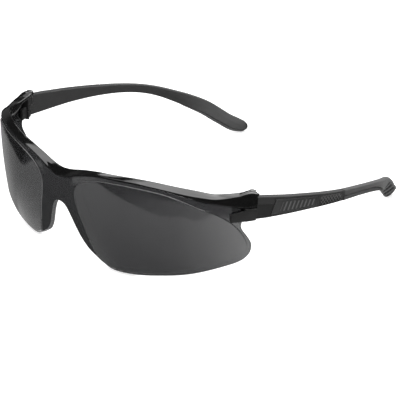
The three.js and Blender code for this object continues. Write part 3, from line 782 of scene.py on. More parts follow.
def lens_core():
    """Where the flat of the lens faces ends, as anticlockwise (along, height) points."""
    top = [(a, brow_low(a) - 0.10) for a in np.arange(0, 79.2, 1.5)]
    outer = [(a + 0.35 * smooth(-14, -19, z), z) for a, z in LENS_OUT]
    lower = [(a + 0.35 * smooth(72, 82, a), z - 0.75 * smooth(46, 66, a)) for a, z in LENS_LOW]
    left = top + outer[::-1] + lower[::-1]
    right = [(-a, z) for a, z in left[1:-1]][::-1]
    loop = relax(spline(left + right, 0.45), times=3)[::-1]
    return even(relax(inset(loop, LENS_EDGE_R), times=2), 0.45)


def lens_plan(core):
    """Triangulates the core with rings round both optic zones and a staggered fill.

    Returns the points, each one's core index (or -1 or beyond the core), its level (distance
    inward from the zone outline; 1 or -1 in the fill), its direction inward and the triangles.
    """
    zones = [relax(spline([(side * a, z) for a, z in ZONE], 0.5), times=4) for side in (1, -1)]
    rings = [inset(zone, level) for zone in zones for level in ZONE_LEVELS]
    edges = []
    start = 0
    for ring in [core] + rings:
        count = len(ring)
        edges += [(start + k, start + (k + 1) % count) for k in range(count)]
        start += count
    grid_along, grid_z = np.meshgrid(np.arange(-84, 84.1, 1.15), np.arange(-37, 6, 1.0))
    grid_along = grid_along + (np.round(grid_z).astype(int) % 2) * 0.57
    fill = np.stack([grid_along.ravel(), grid_z.ravel()], 1)
    fill = fill[inside(core, fill)]
    fill = fill[distance_to(core, fill) > 0.55]
    for ring in rings:
        fill = fill[distance_to(ring, fill) > 0.45]
    fill_level = np.full(len(fill), -1.0)
    for zone in zones:
        fill_level[inside(inset(zone, ZONE_LEVELS[0]), fill)] = 1.0
    level = np.concatenate([np.full(len(core), -1.0)]
                           + [np.full(len(ring), value)
                              for ring, value in zip(rings, ZONE_LEVELS * 2)] + [fill_level])
    inward = np.vstack([np.zeros((len(core), 2))] + [inward_normals(ring) for ring in rings]
                       + [np.zeros((len(fill), 2))])
    every = [Vector(point) for point in np.vstack([core] + rings + [fill])]
    verts, _, faces, origins, _, _ = delaunay_2d_cdt(every, edges, [], 1, 1e-6, True)
    points = np.array([vert[:] for vert in verts])
    source = np.array([origin[0] if origin else -1 for origin in origins])
    level = np.where(source >= 0, level[source], -1.0)
    inward = np.where(source[:, None] >= 0, inward[source], 0.0)
    faces = np.array([tuple(face) for face in faces])
    return points, source, level, inward, faces[inside(core, points[faces].mean(1))]


# ---------------------------------------------------------------- lens
def above_zone(along, z):
    """Height above the upper edge of the optic zone."""
    return z - zone_top(np.clip(np.abs(along), ZONE_TOP[0][0], ZONE_TOP[-1][0]))


def lens_surface(along, z, depth):
    """Points in the lens. Above the zones the front is brought forward a little."""
    side = np.abs(along)
    over = np.clip(above_zone(along, z) + 0.1, 0, None)
    rise = 0.085 * smooth(14, 22, side) * smooth(62, 50, side)
    depth = depth - rise * over * np.where(depth < 1.0, 1.0, 0.0)
    lean = (-0.0226 * z + 0.0044 * z * z) * np.maximum(0, 1 - (along / 80) ** 2)
    return front(along, lean + depth, z)


def lens_tangents(along, z, depth, slope=0.0):
    """Surface tangents and the depth direction; slope is the depth's gradient (along, z)."""
    reach = 0.02
    slope = np.broadcast_to(slope, (len(along), 2))
    across = lens_surface(along + reach, z, depth) - lens_surface(along - reach, z, depth)
    upward = lens_surface(along, z + reach, depth) - lens_surface(along, z - reach, depth)
    deeper = lens_surface(along, z, depth + 1) - lens_surface(along, z, depth)
    return (across / (2 * reach) + deeper * slope[:, :1],
            upward / (2 * reach) + deeper * slope[:, 1:], deeper)


def lens_normals(tangents, side):
    """Unit normals, on the deeper side for side 1 and the front side for -1."""
    across, upward, deeper = tangents
    normals = unit(np.cross(across, upward))
    return normals * np.sign(side * (normals * deeper).sum(1))[:, None]


def faces_along(verts, face, normal):
    """Whether a face winds so that it looks along a normal."""
    first, second, third = (verts[k] for k in face[:3])
    return np.dot(np.cross(second - first, third - first), normal) > 0


def point_attribute(ob, name, front_values):
    """A float attribute for the front face's vertices, which come first, and 0 elsewhere."""
    values = np.zeros(len(ob.data.vertices), np.float32)
    values[:len(front_values)] = front_values
    ob.data.attributes.new(name, "FLOAT", "POINT").data.foreach_set("value", values)


def build_lens():
    core = lens_core()
    points, source, level, inward, triangles = lens_plan(core)
    count = len(points)
    along, z = points.T

    # front and back faces
    rise = np.clip(level / ZONE_STEP_WIDTH, 0, 1)
    depth = -ZONE_STEP * (rise * rise * (3 - 2 * rise))
    steep = np.where((rise > 0) & (rise < 1), 6 * rise * (1 - rise) / ZONE_STEP_WIDTH, 0)
    slope = (-ZONE_STEP * steep)[:, None] * inward
    back_depth = np.full(count, LENS_T)
    verts = [lens_surface(along, z, depth), lens_surface(along, z, back_depth)]
    normals = [lens_normals(lens_tangents(along, z, depth, slope), -1),
               lens_normals(lens_tangents(along, z, back_depth), 1)]
    faces, face_mats = [], []
    forward = faces_along(verts[0], triangles[0], normals[0][triangles[0][0]])
    for triangle in triangles:
        face = triangle if forward else triangle[::-1]
        faces += [tuple(face), tuple(count + k for k in face[::-1])]
        middle, levels = points[triangle].mean(0), level[triangle]
        # the slope round each zone takes the rim material and its painted light, except far out
        # and low down
        on_step = (levels.min() >= 0.03 and levels.max() <= 0.20
                   and abs(middle[0]) < 66 and middle[1] > -27)
        face_mats += [int(on_step), 0]

    # rounded rim: (outward, depth, normal's forward part, normal's outward part)
    profile = []
    for angle in (30 * DEGREE, 60 * DEGREE, 90 * DEGREE):
        cos_angle, sin_angle = math.cos(angle), math.sin(angle)
        profile.append((LENS_EDGE_R * sin_angle, LENS_EDGE_R * (1 - cos_angle),
                        cos_angle, sin_angle))
    back_profile = [(out, LENS_T - deep, -ahead, aside)
                    for out, deep, ahead, aside in reversed(profile)]
    profile += [(LENS_EDGE_R + 0.03, LENS_T / 2, 0.0, 1.0)] + back_profile
    size = len(core)
    core_along, core_z = core.T
    outward = -inward_normals(core)
    tangents = lens_tangents(core_along, core_z, np.zeros(size))
    ahead_normals = lens_normals(tangents, -1)
    outward_normals = unit(tangents[0] * outward[:, :1] + tangents[1] * outward[:, 1:])
    for out, deep, ahead, aside in profile:
        verts.append(lens_surface(core_along + outward[:, 0] * out,
                                  core_z + outward[:, 1] * out, np.full(size, deep)))
        normals.append(ahead_normals * ahead + outward_normals * aside)
    verts, normals = np.vstack(verts), np.vstack(normals)
    vertex_of = {int(source[k]): k for k in range(count) if 0 <= source[k] < size}
    loops = [[vertex_of[k] for k in range(size)]]
    loops += [[2 * count + j * size + k for k in range(size)] for j in range(len(profile))]
    loops.append([count + k for k in loops[0]])
    # the rim's painted light is left off next to the brow and on the bands next to the two faces
    upper = core_z > brow_low(core_along) - 1.6
    rim_faces = []
    for j, (loop, following) in enumerate(zip(loops, loops[1:])):
        for k in range(size):
            q = (k + 1) % size
            rim_faces.append((loop[k], loop[q], following[q], following[k]))
            face_mats.append(0 if upper[k] or j in (0, len(loops) - 2) else 1)
    sample = rim_faces[len(rim_faces) // 2]
    if not faces_along(verts, sample, normals[sample[0]]):
        rim_faces = [face[::-1] for face in rim_faces]
    ob = mesh_object("shield_lens", verts, faces + rim_faces, [MAT["smoke_lens"], MAT["lens_rim_painted_light"]],
                     normals, face_mats)

    # frosting on the bridge and the nose flanges, outside the optic zones; the same mask dims the
    # mirror there as painted shade
    side = np.abs(along)
    outside = np.where(level <= 0.02, 1.0, 0.0)
    flange = smooth(25, 18, side) * np.maximum(smooth(-1.0, -5.0, z), smooth(11, 7, side))
    point_attribute(ob, "frost_and_painted_shade", outside * flange)
    # painted shade: reflections dimmed on the strip between the zones and the brow, for the brow's
    # shade there
    above = smooth(-0.3, 0.1, above_zone(along, z)) * smooth(9.0, 12.0, side)
    fall = 1 - smooth(2, 9, brow_low(along) - z) * smooth(52, 62, side)
    amount = 0.35 + 0.5 * smooth(16, 34, side) + 0.25 * smooth(32, 42, side)
    point_attribute(ob, "painted_brow_shade", outside * above * fall * amount)
    return ob


# ---------------------------------------------------------------- brow bar
BROW_END = 86.75                 # last station along the front
BROW_SHEAR_START = 72.0          # stations beyond this lean towards the slanted end
BOSS_OUT, BOSS_BACK = -0.1, -1.2    # centre of the swelling, in hinge coordinates
BOSS_RISE = 0.78
HEAD_SEAT = 0.98                 # height of the seat for the screw head
ARM_CLEARANCE = -1.72            # innermost hinge coordinate of the relieved ends


def boss_height(hinge):
    """Height of the brow's top round the screw: a low swelling with a seat for the head."""
    out, back, up = np.moveaxis(hinge, -1, 0)
    lengthwise = (back - BOSS_BACK) / np.where(back < BOSS_BACK, 5.2, 2.9)
    across = (out - BOSS_OUT) / np.where(out > BOSS_OUT, 2.75, 2.5)
    reach = np.clip(across ** 2 + lengthwise ** 2, 0, 1)
    swollen = up + BOSS_RISE * (1 - reach) ** 1.25
    return mixed(swollen, np.minimum(swollen, HEAD_SEAT), smooth(1.56, 1.34, np.hypot(out, back)))


def brow_section(along):
    """Section of the bar at a station, as (inward, height) points."""
    side = abs(along)
    low, ahead = brow_low(along), top_front(along)
    rear = top_back(along) + 0.42 * (smooth(24, 44, side) * smooth(73, 64, side))
    end = smooth(66, 76, side)
    width = BROW_W + 0.9 * end
    under = mixed(low + 0.25, min(ahead, rear) - 1.15, end)
    foot = mixed(low - 1.6, under - 0.02, end)
    skin = 0.8
    wall = width - BROW_WALL
    section = fillet([(0, low), (0, ahead), (width, rear), (width, foot), (wall, foot),
                      (wall, under), (skin, under), (skin, low)],
                     radii=[0.22, 0.26, 0.42, 0.3, 0.3, 0.12, 0.12, 0.2],
                     segments=4, between=[6, 26, 4, 1, 2, 3, 1, 1])
    inward, z = section.T
    # the top is slightly crowned
    share = np.clip(inward / width, 0, 1)
    below_top = ahead + (rear - ahead) * share - z
    z = z + 0.05 * (4 * share * (1 - share)) * smooth(0.5, 0.0, below_top)
    # the front face leans back a little towards its top
    tilt = math.tan(6.0 * DEGREE)
    inward = inward + tilt * np.clip(z - low, 0, None) * smooth(1.6, 0.4, inward)
    return np.stack([inward, z], 1)


def brow_end(section):
    """Distance along the front at which each section point meets the slanted end plane."""
    low, high = np.full(len(section), 80.0), np.full(len(section), 90.0)
    for _ in range(30):
        middle = (low + high) / 2
        hinge = to_hinge(front(middle, *section.T))
        past = hinge[:, 1] > 0.22 + 0.8 * smooth(-0.95, 0.15, hinge[:, 2])
        high = np.where(past, middle, high)
        low = np.where(past, low, middle)
    return (low + high) / 2


def build_brow():
    stations = np.concatenate([np.arange(0, 74, 0.8), np.arange(74, 79, 0.4),
                               np.arange(79, BROW_END, 0.16), [BROW_END]])
    stations = np.concatenate([-stations[::-1], stations[1:]])
    sections = np.array([brow_section(station) for station in stations])
    # shear the outer stations so that the last one lies in the slanted end plane
    distance = np.abs(stations)[:, None]
    stretch = (brow_end(sections[-1]) - BROW_SHEAR_START) / (BROW_END - BROW_SHEAR_START)
    along = np.where(distance > BROW_SHEAR_START,
                     BROW_SHEAR_START + (distance - BROW_SHEAR_START) * stretch, distance)
    points = front(np.sign(stations)[:, None] * along, sections[..., 0], sections[..., 1])
    side = np.sign(points[..., 0])
    points[..., 0] = np.abs(points[..., 0])
    hinge = to_hinge(points)
    # inner relief at the ends: keep clear of the folding arm
    out = hinge[..., 0]
    relief = smooth(-1.35, -0.75, hinge[..., 1])
    hinge[..., 0] = np.where(out < ARM_CLEARANCE, mixed(out, ARM_CLEARANCE, relief), out)
    # swelling on the top
    hinge[..., 2] += (boss_height(hinge) - hinge[..., 2]) * smooth(-1.3, -0.35, hinge[..., 2])
    points = from_hinge(hinge)
    points[..., 0] *= np.where(side == 0, 1, side)
    ob = mesh_object("brow_bar_gloss", *loft(points), [MAT["gloss_black"]])
    finish_ends(ob, rounding=0.14)
    sharpen(ob, 50)
    return ob


# ---------------------------------------------------------------- hinge lugs and screws
def build_lug():
    """The lug from its solid: flats cleaned up, edges rounded."""
    name = "hinge_lug_block_left"
    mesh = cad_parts["hinge_lug_left"].data.copy()
    mesh.name = name
    mesh.materials.clear()
    bm = bmesh.new()
    bm.from_mesh(mesh)
    bmesh.ops.remove_doubles(bm, verts=bm.verts[:], dist=2e-6)
    bmesh.ops.dissolve_limit(bm, angle_limit=1.2 * DEGREE, verts=bm.verts[:], edges=bm.edges[:])
    bm.to_mesh(mesh)
    bm.free()
    ob = link_object(name, mesh)
    bevel = ob.modifiers.new("round", "BEVEL")
    bevel.width = 0.22 * 0.001
    bevel.segments = 3
    bevel.limit_method = "ANGLE"
    bevel.angle_limit = 28 * DEGREE
    bevel.use_clamp_overlap = True
    apply_modifiers(ob)
    ob.data.materials.append(MAT["hinge_black_and_painted_shade"])
    sharpen(ob, 40)
    return ob


# (radius, height) from the tip, up the shank to the low domed head
SCREW_PROFILE = [
    (0, -9.3), (0.5, -9.3), (PIN_R, -9.12), (PIN_R, 1.06), (1.22, 1.08), (1.3, 1.10), (1.3, 1.14),
    (1.26, 1.19), (1.12, 1.25), (0.9, 1.30), (0.6, 1.335), (0.3, 1.35), (0, 1.355)]


def build_screw():
    """Turned screw with a cross recess in its head."""
    ob = hinge_turned(SCREW_PROFILE, count=64)
    for angle in (20, 110):
        slot = hinge_box((-0.75, 0.75), (-0.135, 0.135), (1.1, 1.7), turn=angle * DEGREE)
        boolean(ob, slot, "DIFFERENCE")
    ob.name = ob.data.name = "hinge_screw_turned_left"
    ob.data.materials.clear()
    ob.data.materials.append(MAT["screw_steel"])
    sharpen(ob, 35)
    return ob


# ---------------------------------------------------------------- temple arm
def strip_top(y):
    """Height of the lower strip under the soft grip."""
    return mixed(1.65, 0.45, smooth(60, STRIP_END, y))


def inlay_outline(grow=0.0):
    """Corners of the slanted side panel as (y, height), anticlockwise from the lower front."""
    h0, h1 = arm_h(INLAY_Y0), arm_h(INLAY_Y1)
    y0, y1 = INLAY_Y0 - 1.2, INLAY_Y1 - 0.5
    slant = 1.1 * grow
    return [(y0 - 1.5 - slant, -h0 + 0.75 - grow), (y1 + grow, -h1 + 0.65 - grow),
            (y1 + grow, h1 - 0.85 + grow), (y1 - 0.7 + grow, h1 - 0.75 + grow),
            (y0 + 0.2 - slant, h0 - 1.0 + grow)]


def inside_distance(corners, y, height):
    """Signed distance to a convex anticlockwise polygon, positive inside."""
    corners = np.array(corners, float)
    distance = np.full(np.shape(y), 1e9)
    for start, end in zip(corners, np.roll(corners, -1, 0)):
        way = unit(end - start)
        distance = np.minimum(distance, (y - start[0]) * -way[1] + (height - start[1]) * way[0])
    return distance


def hatch(y, height):
    """Raised diamond net: 0 in the cells, 1 on the ribs."""
    slants = y / 1.5 + height / 1.75, y / 1.5 - height / 1.75
    ridge = np.maximum(*(np.abs((slant % 1.0) - 0.5) * 2 for slant in slants))
    return smooth(0.60, 0.80, ridge)


def arm_relief(y, height):
    """How far the arm's side face is cut in."""
    half = arm_h(y)
    cut = 0.62 * smooth(-0.02, 0.10, inside_distance(inlay_outline(0.16), y, height))
    # patch of raised net behind the panel
    patch = np.minimum.reduce([smooth(28.5, 28.9, y), smooth(39.6, 39.2, y),
                               smooth(-half + 0.10, -half + 0.35, height),
                               smooth(half - 0.55, half - 0.85, height)])
    cut = cut + 0.40 * patch * (1 - hatch(y, height))
    # shallow upright line between the panel and the patch
    return cut + (0.16 * smooth(0.16, 0.02, np.abs(y - 28.15))
                  * smooth(half - 0.7, half - 1.1, height)
                  * smooth(-half + 0.1, -half + 0.4, height))


def arm_section(y):
    """Full section as (depth, height) points; a crease parts the upper band from the side."""
    half = arm_h(y)
    crease = half - (3.0 - 1.85 * smooth(5.2, 8.2, y) - 0.1 * smooth(27, 41, y))
    plain = smooth(7.0, 5.0, y)     # 1 in the plain zone next to the hinge
    return fillet([(0.28 - 0.22 * plain, -half), (0.02 + 0.30 * plain, crease - 0.12),
                   (0.0, crease + 0.06), (0.24 + 0.10 * plain, half), (ARM_T, half),
                   (ARM_T, -half)],
                  radii=[0.4, 0.05, 0.05, 0.85, 0.6, 0.55],
                  segments=5, between=[56, 0, 14, 8, 14, 8])


def strip_section(y):
    """Section of the lower strip, with as many points as the full section."""
    half = arm_h(y)
    top = -half + strip_top(y)
    scale = max(min((top + half) / 1.65, 1.0), 0.2)
    return fillet([(0.22, -half), (0.0, -half + 0.55 * scale), (0.16, top), (1.92, top),
                   (1.95, -half)],
                  radii=[0.3 * scale, 0.12, 0.3 * scale, 0.3 * scale, 0.5 * scale],
                  segments=5, between=[62, 14, 8, 14, 8])


def arm_rings():
    rings = []
    stations = np.concatenate([np.arange(-1.15, 6, 0.3), np.arange(6, 40.7, 0.15),
                               [40.8, 40.92, GRIP_START]])
    rounding = [0] * (len(stations) - 3) + [0.03, 0.1, 0.22]
    for y, draw_in in zip(stations, rounding):
        section = arm_section(y)
        if draw_in:
            section = shrink_outer(section, inset(section, draw_in))
        depth, height = section.T
        half = arm_h(y)
        mask = (smooth(1.2, 0.7, depth) * smooth(-half, -half + 0.28, height)
                * smooth(half - 0.05, half - 0.45, height))
        depth = depth + arm_relief(np.full(len(height), y), height) * mask
        rings.append(arm_point(y, height, depth))
    # the lower strip runs on under the soft grip
    stations = np.concatenate([[GRIP_START + 0.01, 41.3], np.arange(41.8, 74.0, 0.5),
                               [74.3, 74.7, 74.9, STRIP_END]])
    rounding = [0] * (len(stations) - 3) + [0.03, 0.072, 0.12]
    for y, draw_in in zip(stations, rounding):
        section = strip_section(y)
        if draw_in:
            section = inset(section, draw_in)
        rings.append(arm_point(y, section[:, 1], section[:, 0]))
    return rings


def cut_arm_hinge(ob):
    """Squares the arm to the hinge, makes room for the knuckles, adds the tongue and its hole."""
    boolean(ob, hinge_box((-9, 9), (-9, 0.62), (-16, 6)), "DIFFERENCE")
    boolean(ob, hinge_box((-9, 1.95), (-9, 1.95), (-16, 6)), "DIFFERENCE")
    tongue_up = (-6.6, -4.1)
    tongue = hinge_box((-0.9, 1.9), (0.3, 2.6), tongue_up)
    boolean(tongue, hinge_cylinder(1.48, *tongue_up), "UNION")
    boolean(tongue, hinge_box((1.5, 2.6), (0.66, 2.6), tongue_up), "UNION")
    boolean(ob, tongue, "UNION")
    boolean(ob, hinge_cylinder(PIN_HOLE_R + 0.02, -12, 4), "DIFFERENCE")


def paint_arm(ob):
    """Gives the net's crests, the lower strip and the part next to the hinge their materials; the
    part next to the hinge is darkened as painted shade.
    """
    mesh = ob.data
    mesh.materials.clear()
    for key in ("matte_black", "inlay_rib", "strip_grey", "hinge_black_and_painted_shade"):
        mesh.materials.append(MAT[key])
    count = len(mesh.polygons)
    centres = np.zeros(count * 3)
    mesh.polygons.foreach_get("center", centres)
    centres = centres.reshape(count, 3) * 1000 - HINGE_ORIGIN
    y = centres[:, 1]
    inner_y = np.clip(y, 1, 96)
    middle, up, out = arm_frame(inner_y)
    offset = centres - middle
    height, depth = (offset * up).sum(1), -(offset * out).sum(1)
    half = arm_h(inner_y)
    crests = ((y > 28.7) & (y < 39.5) & (depth < 0.36) & (height > -half + 0.25)
              & (height < half - 0.7) & (hatch(y, height) > 0.45))
    index = np.zeros(count, np.int32)
    index[crests] = 1
    index[(y > 41.2) & (depth < 2.2)] = 2
    # painted shade: the lower front face next to the hinge takes the darker hinge plastic
    index[(y < 8.3 + 0.3 * (height + half)) & (height < half - 3.05) & (depth < 1.2)] = 3
    mesh.polygons.foreach_set("material_index", index)


def build_arm():
    ob = mesh_object("temple_arm_shell_left", *loft(arm_rings()), [MAT["matte_black"]])
    finish_ends(ob)
    cut_arm_hinge(ob)
    paint_arm(ob)
    sharpen(ob, 42)
    return ob


# ---------------------------------------------------------------- side inlay
def build_inlay():
    """A moulded panel with a raised border and a row of plain slanted ribs."""
    corners = inlay_outline()
    low_front, low_back, high_back, shoulder, high_front = corners
    bottom = list(zip(low_front, low_back))
    top = list(zip(low_front, high_front, shoulder, high_back))
    start, bend, end = low_front[0] + 0.05, high_front[0], high_back[0]
    stations = np.concatenate([start + (bend - start) * np.linspace(0, 1, 22),
                               np.arange(bend + 0.12, end, 0.12), [end]])
    rows, cols = len(stations), 70
    share = np.linspace(0, 1, cols)
    outer, back, lighter_top = [], [], []
    for y in stations:
        low, high = np.interp(y, *bottom), np.interp(y, *top)
        height = low + (high - low) * share
        distance = inside_distance(corners, np.full(cols, y), height)
        border = smooth(0.62, 0.46, distance)
        # ribs: slanted bars inside the border, one every 1.86
        slanted = y - 0.33 * (height - low)
        wave = np.abs((((slanted - 9.2) / 1.86) % 1.0) - 0.5) * 2
        rib = (smooth(0.42, 0.66, wave) * (smooth(0.75, 1.0, distance)
               * smooth(8.9, 9.6, slanted) * smooth(26.1, 25.7, y)
               * smooth(0.10, 0.17, share) * smooth(0.86, 0.78, share)))
        # rib tops take the lighter rib grey
        lighter_top.append((rib > 0.6) * smooth(0.42, 0.5, wave))
        # quarter-round edge of the panel
        from_edge = 1 - np.clip(distance / 0.14, 0, 1)
        edge = 0.14 * (1 - np.sqrt(np.clip(1 - from_edge ** 2, 0, 1)))
        depth = -0.12 + (0.26 * (1 - border) - 0.26 * rib) + edge
        outer.append(arm_point(y, height, depth))
        back.append(arm_point(y, height, 0.44))
    verts = np.vstack(outer + back)
    behind = rows * cols
    outer_faces = grid_faces(rows, cols)
    back_faces = [tuple(behind + k for k in reversed(face)) for face in outer_faces]
    rim = ([i * cols for i in range(rows)] + [(rows - 1) * cols + j for j in range(1, cols)]
           + [i * cols + cols - 1 for i in range(rows - 2, -1, -1)]
           + list(range(cols - 2, 0, -1)))
    sides = [(k, behind + k, behind + j, j) for k, j in zip(rim, rim[1:] + rim[:1])]
    lighter_top = np.concatenate(lighter_top)
    face_mats = [int(lighter_top[list(face)].min() > 0.5) for face in outer_faces]
    face_mats += [0] * (len(back_faces) + len(sides))
    ob = mesh_object("side_inlay_panel_left", verts,
                     facing_out(verts, outer_faces + back_faces + sides),
                     [MAT["inlay_grey"], MAT["inlay_rib"]], face_mats=face_mats)
    sharpen(ob, 48)
    return ob


# ---------------------------------------------------------------- soft grip
GROOVE_CENTRES = (80.6, 84.4, 88.2, 92.0)    # y of the grooves across the outer face
GROOVE_DEPTH = 0.6


def grip_section(y, draw_in=0.0):
    half = arm_h(y)
    past_strip = smooth(74.9, 76.6, y)
    low = mixed(-half + strip_top(min(y, STRIP_END)) + 0.16, -half, past_strip)
    scale = min(1.0, (half - low) / 2.6)
    foot = min(-half, low - 0.03)
    top = half - 0.35 * smooth(83, 91, y)
    section = fillet([(0.12, low), (0.0, low + (top - low) * 0.45), (0.26, top),
                      (ARM_T - 0.1, top), (ARM_T, low + (top - low) * 0.5),
                      (ARM_T - 0.12, foot), (2.05, foot), (2.05, low)],
                     radii=[0.45 * scale, 0.6, 0.95 * scale, 0.95 * scale, 0.6,
                            0.3 + 0.25 * past_strip, 0.12, 0.1],
                     segments=6, between=[16, 22, 8, 10, 10, 2, 1, 6])
    if draw_in:
        centre = np.array([ARM_T / 2, (low + top) / 2])
        reach = np.array([ARM_T / 2, (top - low) / 2])
        factor = np.maximum((reach - draw_in) / reach, 0.02)
        section = shrink_outer(section, centre + (section - centre) * factor)
    return section


def build_grip():
    rings, depths, grooves = [], [], []
    stations = np.concatenate([[41.10, 41.14, 41.25, 41.45], np.arange(41.9, 74, 0.5),
                               np.arange(74, TIP_START, 0.25)])
    rounding = [0.42, 0.22, 0.07] + [0.0] * (len(stations) - 3)
    for y, draw_in in zip(stations, rounding):
        section = grip_section(y, draw_in)
        depth, height = section.T
        half = arm_h(y)
        groove = sum(smooth(1.1, 0.7, abs(y - centre - 0.2 * height))
                     for centre in GROOVE_CENTRES)
        groove = (groove * smooth(1.3, 0.6, depth) * smooth(-half + 0.2, -half + 1.0, height)
                  * smooth(half - 0.9, half - 1.7, height))
        rings.append(arm_point(y, height, depth + GROOVE_DEPTH * groove))
        depths.append(depth)
        grooves.append(groove)
    for angle in np.linspace(0, 88, 12) * DEGREE:
        y = TIP_START + (TIP_END - TIP_START) * math.sin(angle)
        section = grip_section(y)
        centre = np.array([ARM_T / 2, 0.0])
        narrow = max(math.cos(angle), 0.03)
        tip = centre + (section - centre) * np.array([narrow, 1 - (1 - narrow) * 0.75])
        rings.append(arm_point(y, tip[:, 1], tip[:, 0]))
        depths.append(section[:, 0])
        grooves.append(np.zeros(len(section)))
    verts, faces = loft(rings)
    depths, grooves = np.concatenate(depths), np.concatenate(grooves)

    def material(face):
        """1 on the hard inner face, 2 on the groove floors, darkened as painted shade, 0 on the
        soft rest.
        """
        if depths[list(face)].mean() > 2.2:
            return 1
        return 2 if grooves[list(face)].mean() > 0.5 else 0

    ob = mesh_object("temple_grip_soft_left", verts, faces,
                     [MAT["soft_grip"], MAT["matte_black"], MAT["grip_groove_painted_shade"]],
                     face_mats=[material(face) for face in faces])
    finish_ends(ob)
    sharpen(ob, 55)
    return ob


# ---------------------------------------------------------------- assembly
def place(ob, body, node):
    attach(ob, body)
    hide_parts(node)


place(build_lens(), "front", "lens")
place(build_brow(), "front", "brow_bar")

# left-hand piece, name without its side, body it rides on, material slot, node it replaces
PAIRS = [
    (build_lug(), "hinge_lug_block", "front", "matte_black", "hinge_lug"),
    (build_screw(), "hinge_screw_turned", "front", "screw_steel", "hinge_screw"),
    (build_arm(), "temple_arm_shell", "temple", "matte_black", "temple_arm"),
    (build_inlay(), "side_inlay_panel", "temple", "inlay_grey", "side_inlay"),
    (build_grip(), "temple_grip_soft", "temple", "soft_grip", "temple_grip"),
]
for left_ob, stem, body, slot, node in PAIRS:
    right_ob = twin(left_ob, stem + "_right")
    for ob, side in ((left_ob, "left"), (right_ob, "right")):
        place(ob, side + "_temple" if body == "temple" else body, node + "_" + side)


# ---------------------------------------------------------------- studio
def build_floor():
    """A flat disc just under the glasses (metres)."""
    mat = floor_material()
    count = 24
    bm = bmesh.new()
    rings = [disc_ring(bm, radius, -0.00018, count) for radius in (0.4, 1.2, 4.0, 12.0)]
    bm.faces.new(rings[0])
    for ring, following in zip(rings, rings[1:]):
        for k in range(count):
            j = (k + 1) % count
            bm.faces.new((ring[k], following[k], following[j], ring[j]))
    bmesh.ops.recalc_face_normals(bm, faces=bm.faces[:])
    mesh = bpy.data.meshes.new("floor")
    bm.to_mesh(mesh)
    bm.free()
    mesh.materials.append(mat)
    ob = link_object("floor", mesh)
    # the recalculated side of an open sheet may be the lower one
    if mesh.polygons[0].normal.z < 0:
        mesh.flip_normals()
    ob.visible_glossy = False


# Reflected room, each as (azimuth in degrees from +x towards +y, value)
TABLE_GLOW = [    # brightness below the horizon
    (-180, .18), (-174, .18), (-162, .235), (-150, .30), (-138, .36), (-126, .38), (-114, .37),
    (-102, .37), (-90, .385), (-78, .43), (-66, .46), (-54, .56), (-42, .62), (-30, .78),
    (-18, .94), (-6, 1.15), (14, 1.25), (40, .7), (100, .40), (150, .19), (174, .175), (180, .18)]
DEEP_GLOW = [     # extra brightness far below the horizon
    (-180, .30), (-174, .24), (-162, .14), (-150, .06), (-138, .02), (-126, 0), (140, 0),
    (162, 1.3), (174, .40), (180, .30)]
HORIZON_DROP = [  # how far the horizon lies below level, as -z of the direction
    (-180, .41), (-174, .425), (-162, .452), (-150, .424), (-138, .412), (-126, .405),
    (-114, .432), (-102, .461), (-90, .482), (-78, .500), (-66, .484), (-54, .481), (-42, .478),
    (-30, .452), (-18, .430), (-6, .398), (14, .37), (40, .37), (100, .40), (150, .385),
    (174, .40), (180, .41)]
BAND_GLOW = [     # brightness of the dim band above the horizon
    (-180, 0), (-102, 0), (-90, .10), (-78, .22), (-66, .30), (-54, .36), (-42, .44), (-30, .58),
    (-20, .62), (0, 0), (180, 0)]
GLOW_SCALE = 0.4  # brings the glow tables within a colour ramp; GLOW_GAIN undoes it
GLOW_GAIN = 2.5


def azimuth_curve(tree, azimuth, stops, scale=1.0, kind="LINEAR"):
    """A table over azimuth (0 to 1 for -180 to 180 degrees) as a colour ramp."""
    ramp = tree.node("ShaderNodeValToRGB", {"Fac": azimuth})
    ramp.color_ramp.interpolation = kind
    elements = ramp.color_ramp.elements
    stops = [((degrees + 180) / 360, grey(value * scale)) for degrees, value in stops]
    elements[0].position, elements[1].position = stops[0][0], stops[-1][0]
    elements[0].color, elements[1].color = stops[0][1], stops[-1][1]
    for position, color in stops[1:-1]:
        elements.new(position).color = color
    return ramp.outputs["Color"]


